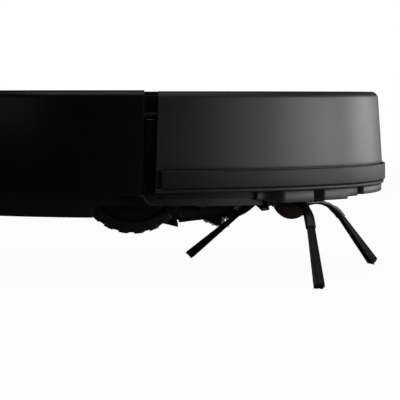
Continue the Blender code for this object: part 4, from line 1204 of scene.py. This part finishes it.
def bin_filter():
    """Pleated paper in a thin frame."""
    low, high = span("dust_filter")
    pleats = 14
    outline = []
    for i in range(pleats + 1):
        y = low.y + 2 + (high.y - low.y - 4) * i / pleats
        outline.append((low.x + (1.0 if i % 2 else 5.5), y))
    back = [(x + 7.0, y) for x, y in reversed(outline)]
    build("filter_pleats", prism(outline + back, low.z + 2, high.z - 2), "paper", "dust_bin",
          ["dust_filter"], crease=20)
    rim = build("filter_frame", box((low.x, high.x), (low.y, high.y), (low.z, high.z)), "tray")
    carve(rim, [box((low.x - 5, high.x + 5), (low.y + 1.9, high.y - 1.9), (low.z + 1.9, high.z - 1.9))])
    add_bevel(rim, 0.3, 2, 40)
    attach(rim, "dust_bin")


# ---------------------------------------------------------------- bumper springs
def return_springs():
    """Coil springs behind the bumper, fixed to the body at their rest length."""
    wire, turns, steps = 0.3, 3.5, 84
    for side in SIDES:
        low, high = span(f"bumper_spring_{side}")
        centre = (low + high) / 2
        radius = (high.z - low.z) / 2 - wire
        length = high.x - low.x - 0.7
        rings = []
        for i in range(steps + 1):
            t = i / steps
            a = 2 * pi * turns * t
            out = Vector((0.0, cos(a), sin(a)))
            spine = Vector((low.x + wire + (length - 2 * wire) * t, centre.y, centre.z)) + out * radius
            rings.append([
                spine + out * wire * cos(b) + Vector((wire * sin(b), 0.0, 0.0))
                for b in (2 * pi * k / 8 for k in range(8))
            ])
        coil = build(f"bumper_coil_{side}", loft(rings), "steel", "body",
                     [f"bumper_spring_{side}"])
        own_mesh(coil)


# ---------------------------------------------------------------- CAD nodes that stay
def dress_cad_nodes():
    """Inner modules and small fittings keep their CAD shape and get a finished surface."""
    looks = {
        "battery_pack": "battery", "main_board": "board", "fan_housing": "tray", "suction_duct": "tray",
        "side_brush_gearbox": "steel", "charge_contact_left": "contact", "charge_contact_right": "contact",
        "cliff_sensor_front": "smoked", "cliff_sensor_left": "smoked", "cliff_sensor_right": "smoked",
        "bumper_switch_left": "tray", "bumper_switch_right": "tray",
        "wheel_housing_right": "tray", "wheel_housing_left": "tray",
        "speaker": "tray", "right_wheel_gearbox": "tray", "left_wheel_gearbox": "tray",
        "right_wheel_axle": "steel", "left_wheel_axle": "steel", "brush_gearmotor": "steel",
        "caster_axle": "steel", "fan_impeller": "fan",
    }
    for name, look in looks.items():
        obj = frame["nodes"][name]
        obj.data.materials.clear()
        obj.data.materials.append(MATERIALS[look])


# ---------------------------------------------------------------- stage, light and camera
def stage():
    """Pale round floor just under the lowest point of the machine."""
    low = cad_bounds[0].z
    bm = bmesh.new()
    rows = []
    for radius in (0.0001, 0.4, 0.8, 1.2, 1.6, 2.0):
        rows.append([bm.verts.new((x, y, low - 0.0006)) for x, y in circle(radius, (0, 0), 96)])
    for inner, outer in zip(rows, rows[1:]):
        for i in range(96):
            j = (i + 1) % 96
            bm.faces.new((inner[i], outer[i], outer[j], inner[j]))
    mesh = bpy.data.meshes.new("floor")
    bm.to_mesh(mesh)
    bm.free()
    made = bpy.data.materials.new("pale_floor")
    made.use_nodes = True
    tree = made.node_tree
    shader = tree.nodes["Principled BSDF"]
    coords = node(tree, "ShaderNodeTexCoord")
    cloud = noise(tree, coords, 400.0)
    tree.links.new(blended(tree, cloud, (0.86, 0.86, 0.86), (0.9, 0.9, 0.9)), shader.inputs["Base Color"])
    shader.inputs["Roughness"].default_value = 0.9
    shader.inputs["Specular IOR Level"].default_value = 0.1
    floor_glow(tree, shader)
    mesh.materials.append(made)
    floor = bpy.data.objects.new("floor", mesh)
    bpy.context.scene.collection.objects.link(floor)


def floor_glow(tree, shader):
    """Pale to the camera, dark to every other ray, transparent from beneath and to shadow rays."""
    glow = node(tree, "ShaderNodeEmission", Color=(1.0, 1.0, 1.0, 1.0), Strength=1.04)
    pale = node(tree, "ShaderNodeMixShader")
    pale.inputs[0].default_value = 0.92
    dark = node(tree, "ShaderNodeBsdfDiffuse", Color=(0.02, 0.02, 0.02, 1.0))
    path = node(tree, "ShaderNodeLightPath")
    seen = node(tree, "ShaderNodeMixShader")
    face = node(tree, "ShaderNodeNewGeometry")
    clear = node(tree, "ShaderNodeBsdfTransparent")
    final = node(tree, "ShaderNodeMixShader")
    out = tree.nodes["Material Output"]
    tree.links.new(shader.outputs[0], pale.inputs[1])
    tree.links.new(glow.outputs[0], pale.inputs[2])
    tree.links.new(path.outputs["Is Camera Ray"], seen.inputs[0])
    tree.links.new(dark.outputs[0], seen.inputs[1])
    tree.links.new(pale.outputs[0], seen.inputs[2])
    passing = node(tree, "ShaderNodeMath", operation="MAXIMUM")
    tree.links.new(face.outputs["Backfacing"], passing.inputs[0])
    tree.links.new(path.outputs["Is Shadow Ray"], passing.inputs[1])
    tree.links.new(passing.outputs[0], final.inputs[0])
    tree.links.new(seen.outputs[0], final.inputs[1])
    tree.links.new(clear.outputs[0], final.inputs[2])
    tree.links.new(final.outputs[0], out.inputs["Surface"])


def area_light(name, at, target, size, power):
    data = bpy.data.lights.new(name, "AREA")
    data.shape = "RECTANGLE"
    data.size, data.size_y = size
    data.energy = power
    light = bpy.data.objects.new(name, data)
    light.location = at
    direction = Vector(target) - Vector(at)
    light.rotation_euler = direction.to_track_quat("-Z", "Y").to_euler()
    light.visible_camera = False
    bpy.context.scene.collection.objects.link(light)
    return light


def lights():
    world = bpy.data.worlds.new("studio")
    world.use_nodes = True
    tree = world.node_tree
    tree.nodes.clear()
    seen = node(tree, "ShaderNodeLightPath")
    dim = node(tree, "ShaderNodeBackground", Color=(0.9, 0.95, 1.0, 1.0), Strength=0.012)
    white = node(tree, "ShaderNodeBackground", Color=(1.0, 1.0, 1.0, 1.0), Strength=1.0)
    mix = node(tree, "ShaderNodeMixShader")
    out = node(tree, "ShaderNodeOutputWorld")
    tree.links.new(seen.outputs["Is Camera Ray"], mix.inputs[0])
    tree.links.new(dim.outputs[0], mix.inputs[1])
    tree.links.new(white.outputs[0], mix.inputs[2])
    tree.links.new(mix.outputs[0], out.inputs["Surface"])
    bpy.context.scene.world = world
    target = (0.1, -0.02, 0.04)
    area_light("right_softbox", (1.6, -0.14, 0.16), target, (0.9, 0.4), 9.2)
    area_light("rim_softbox", (1.31, 0.92, 0.1), target, (0.6, 0.5), 5.4)
    area_light("front_softbox", (1.23, -1.03, 0.16), target, (0.7, 0.4), 2.4)
    area_light("left_softbox", (-1.5, -0.9, 0.16), (0.0, 0.0, 0.04), (1.2, 0.4), 0.35)
    area_light("back_softbox", (-1.3, 1.0, 0.16), (0.0, 0.0, 0.04), (0.9, 0.4), 7.0)
    area_light("top_softbox", (0.0, -0.41, 1.5), (0.0, -0.41, 0.0), (1.8, 1.35), 6.5)
    under = area_light("floor_fill", (0.0, 0.0, -1.2), (0.0, 0.0, 0.0), (2.4, 2.4), 14.0)
    under.visible_glossy = False


def camera():
    """Low side view from the machine's right: the distance and lens give the product picture's flatness."""
    data = bpy.data.cameras.new("camera")
    data.lens = 179.3
    data.sensor_width = 36.0
    eye = bpy.data.objects.new("camera", data)
    eye.location = (0.0, -1.4, 0.074)
    down, aside = 2.97, 1.93
    eye.rotation_euler = (radians(90 - down), 0.0, -radians(aside))
    bpy.context.scene.collection.objects.link(eye)
    bpy.context.scene.camera = eye
    bpy.context.scene.view_settings.view_transform = "Standard"


rear_shell()
bumper()
front_skirt()
side_gap_details()
wall_sensor()
top_panel()
buttons()
tray()
underside_details()
for side_name, outward in SIDES.items():
    wheel(side_name, outward)
caster()
brush_head()
side_brush()
dust_bin()
return_springs()
dress_cad_nodes()
stage()
lights()
camera()
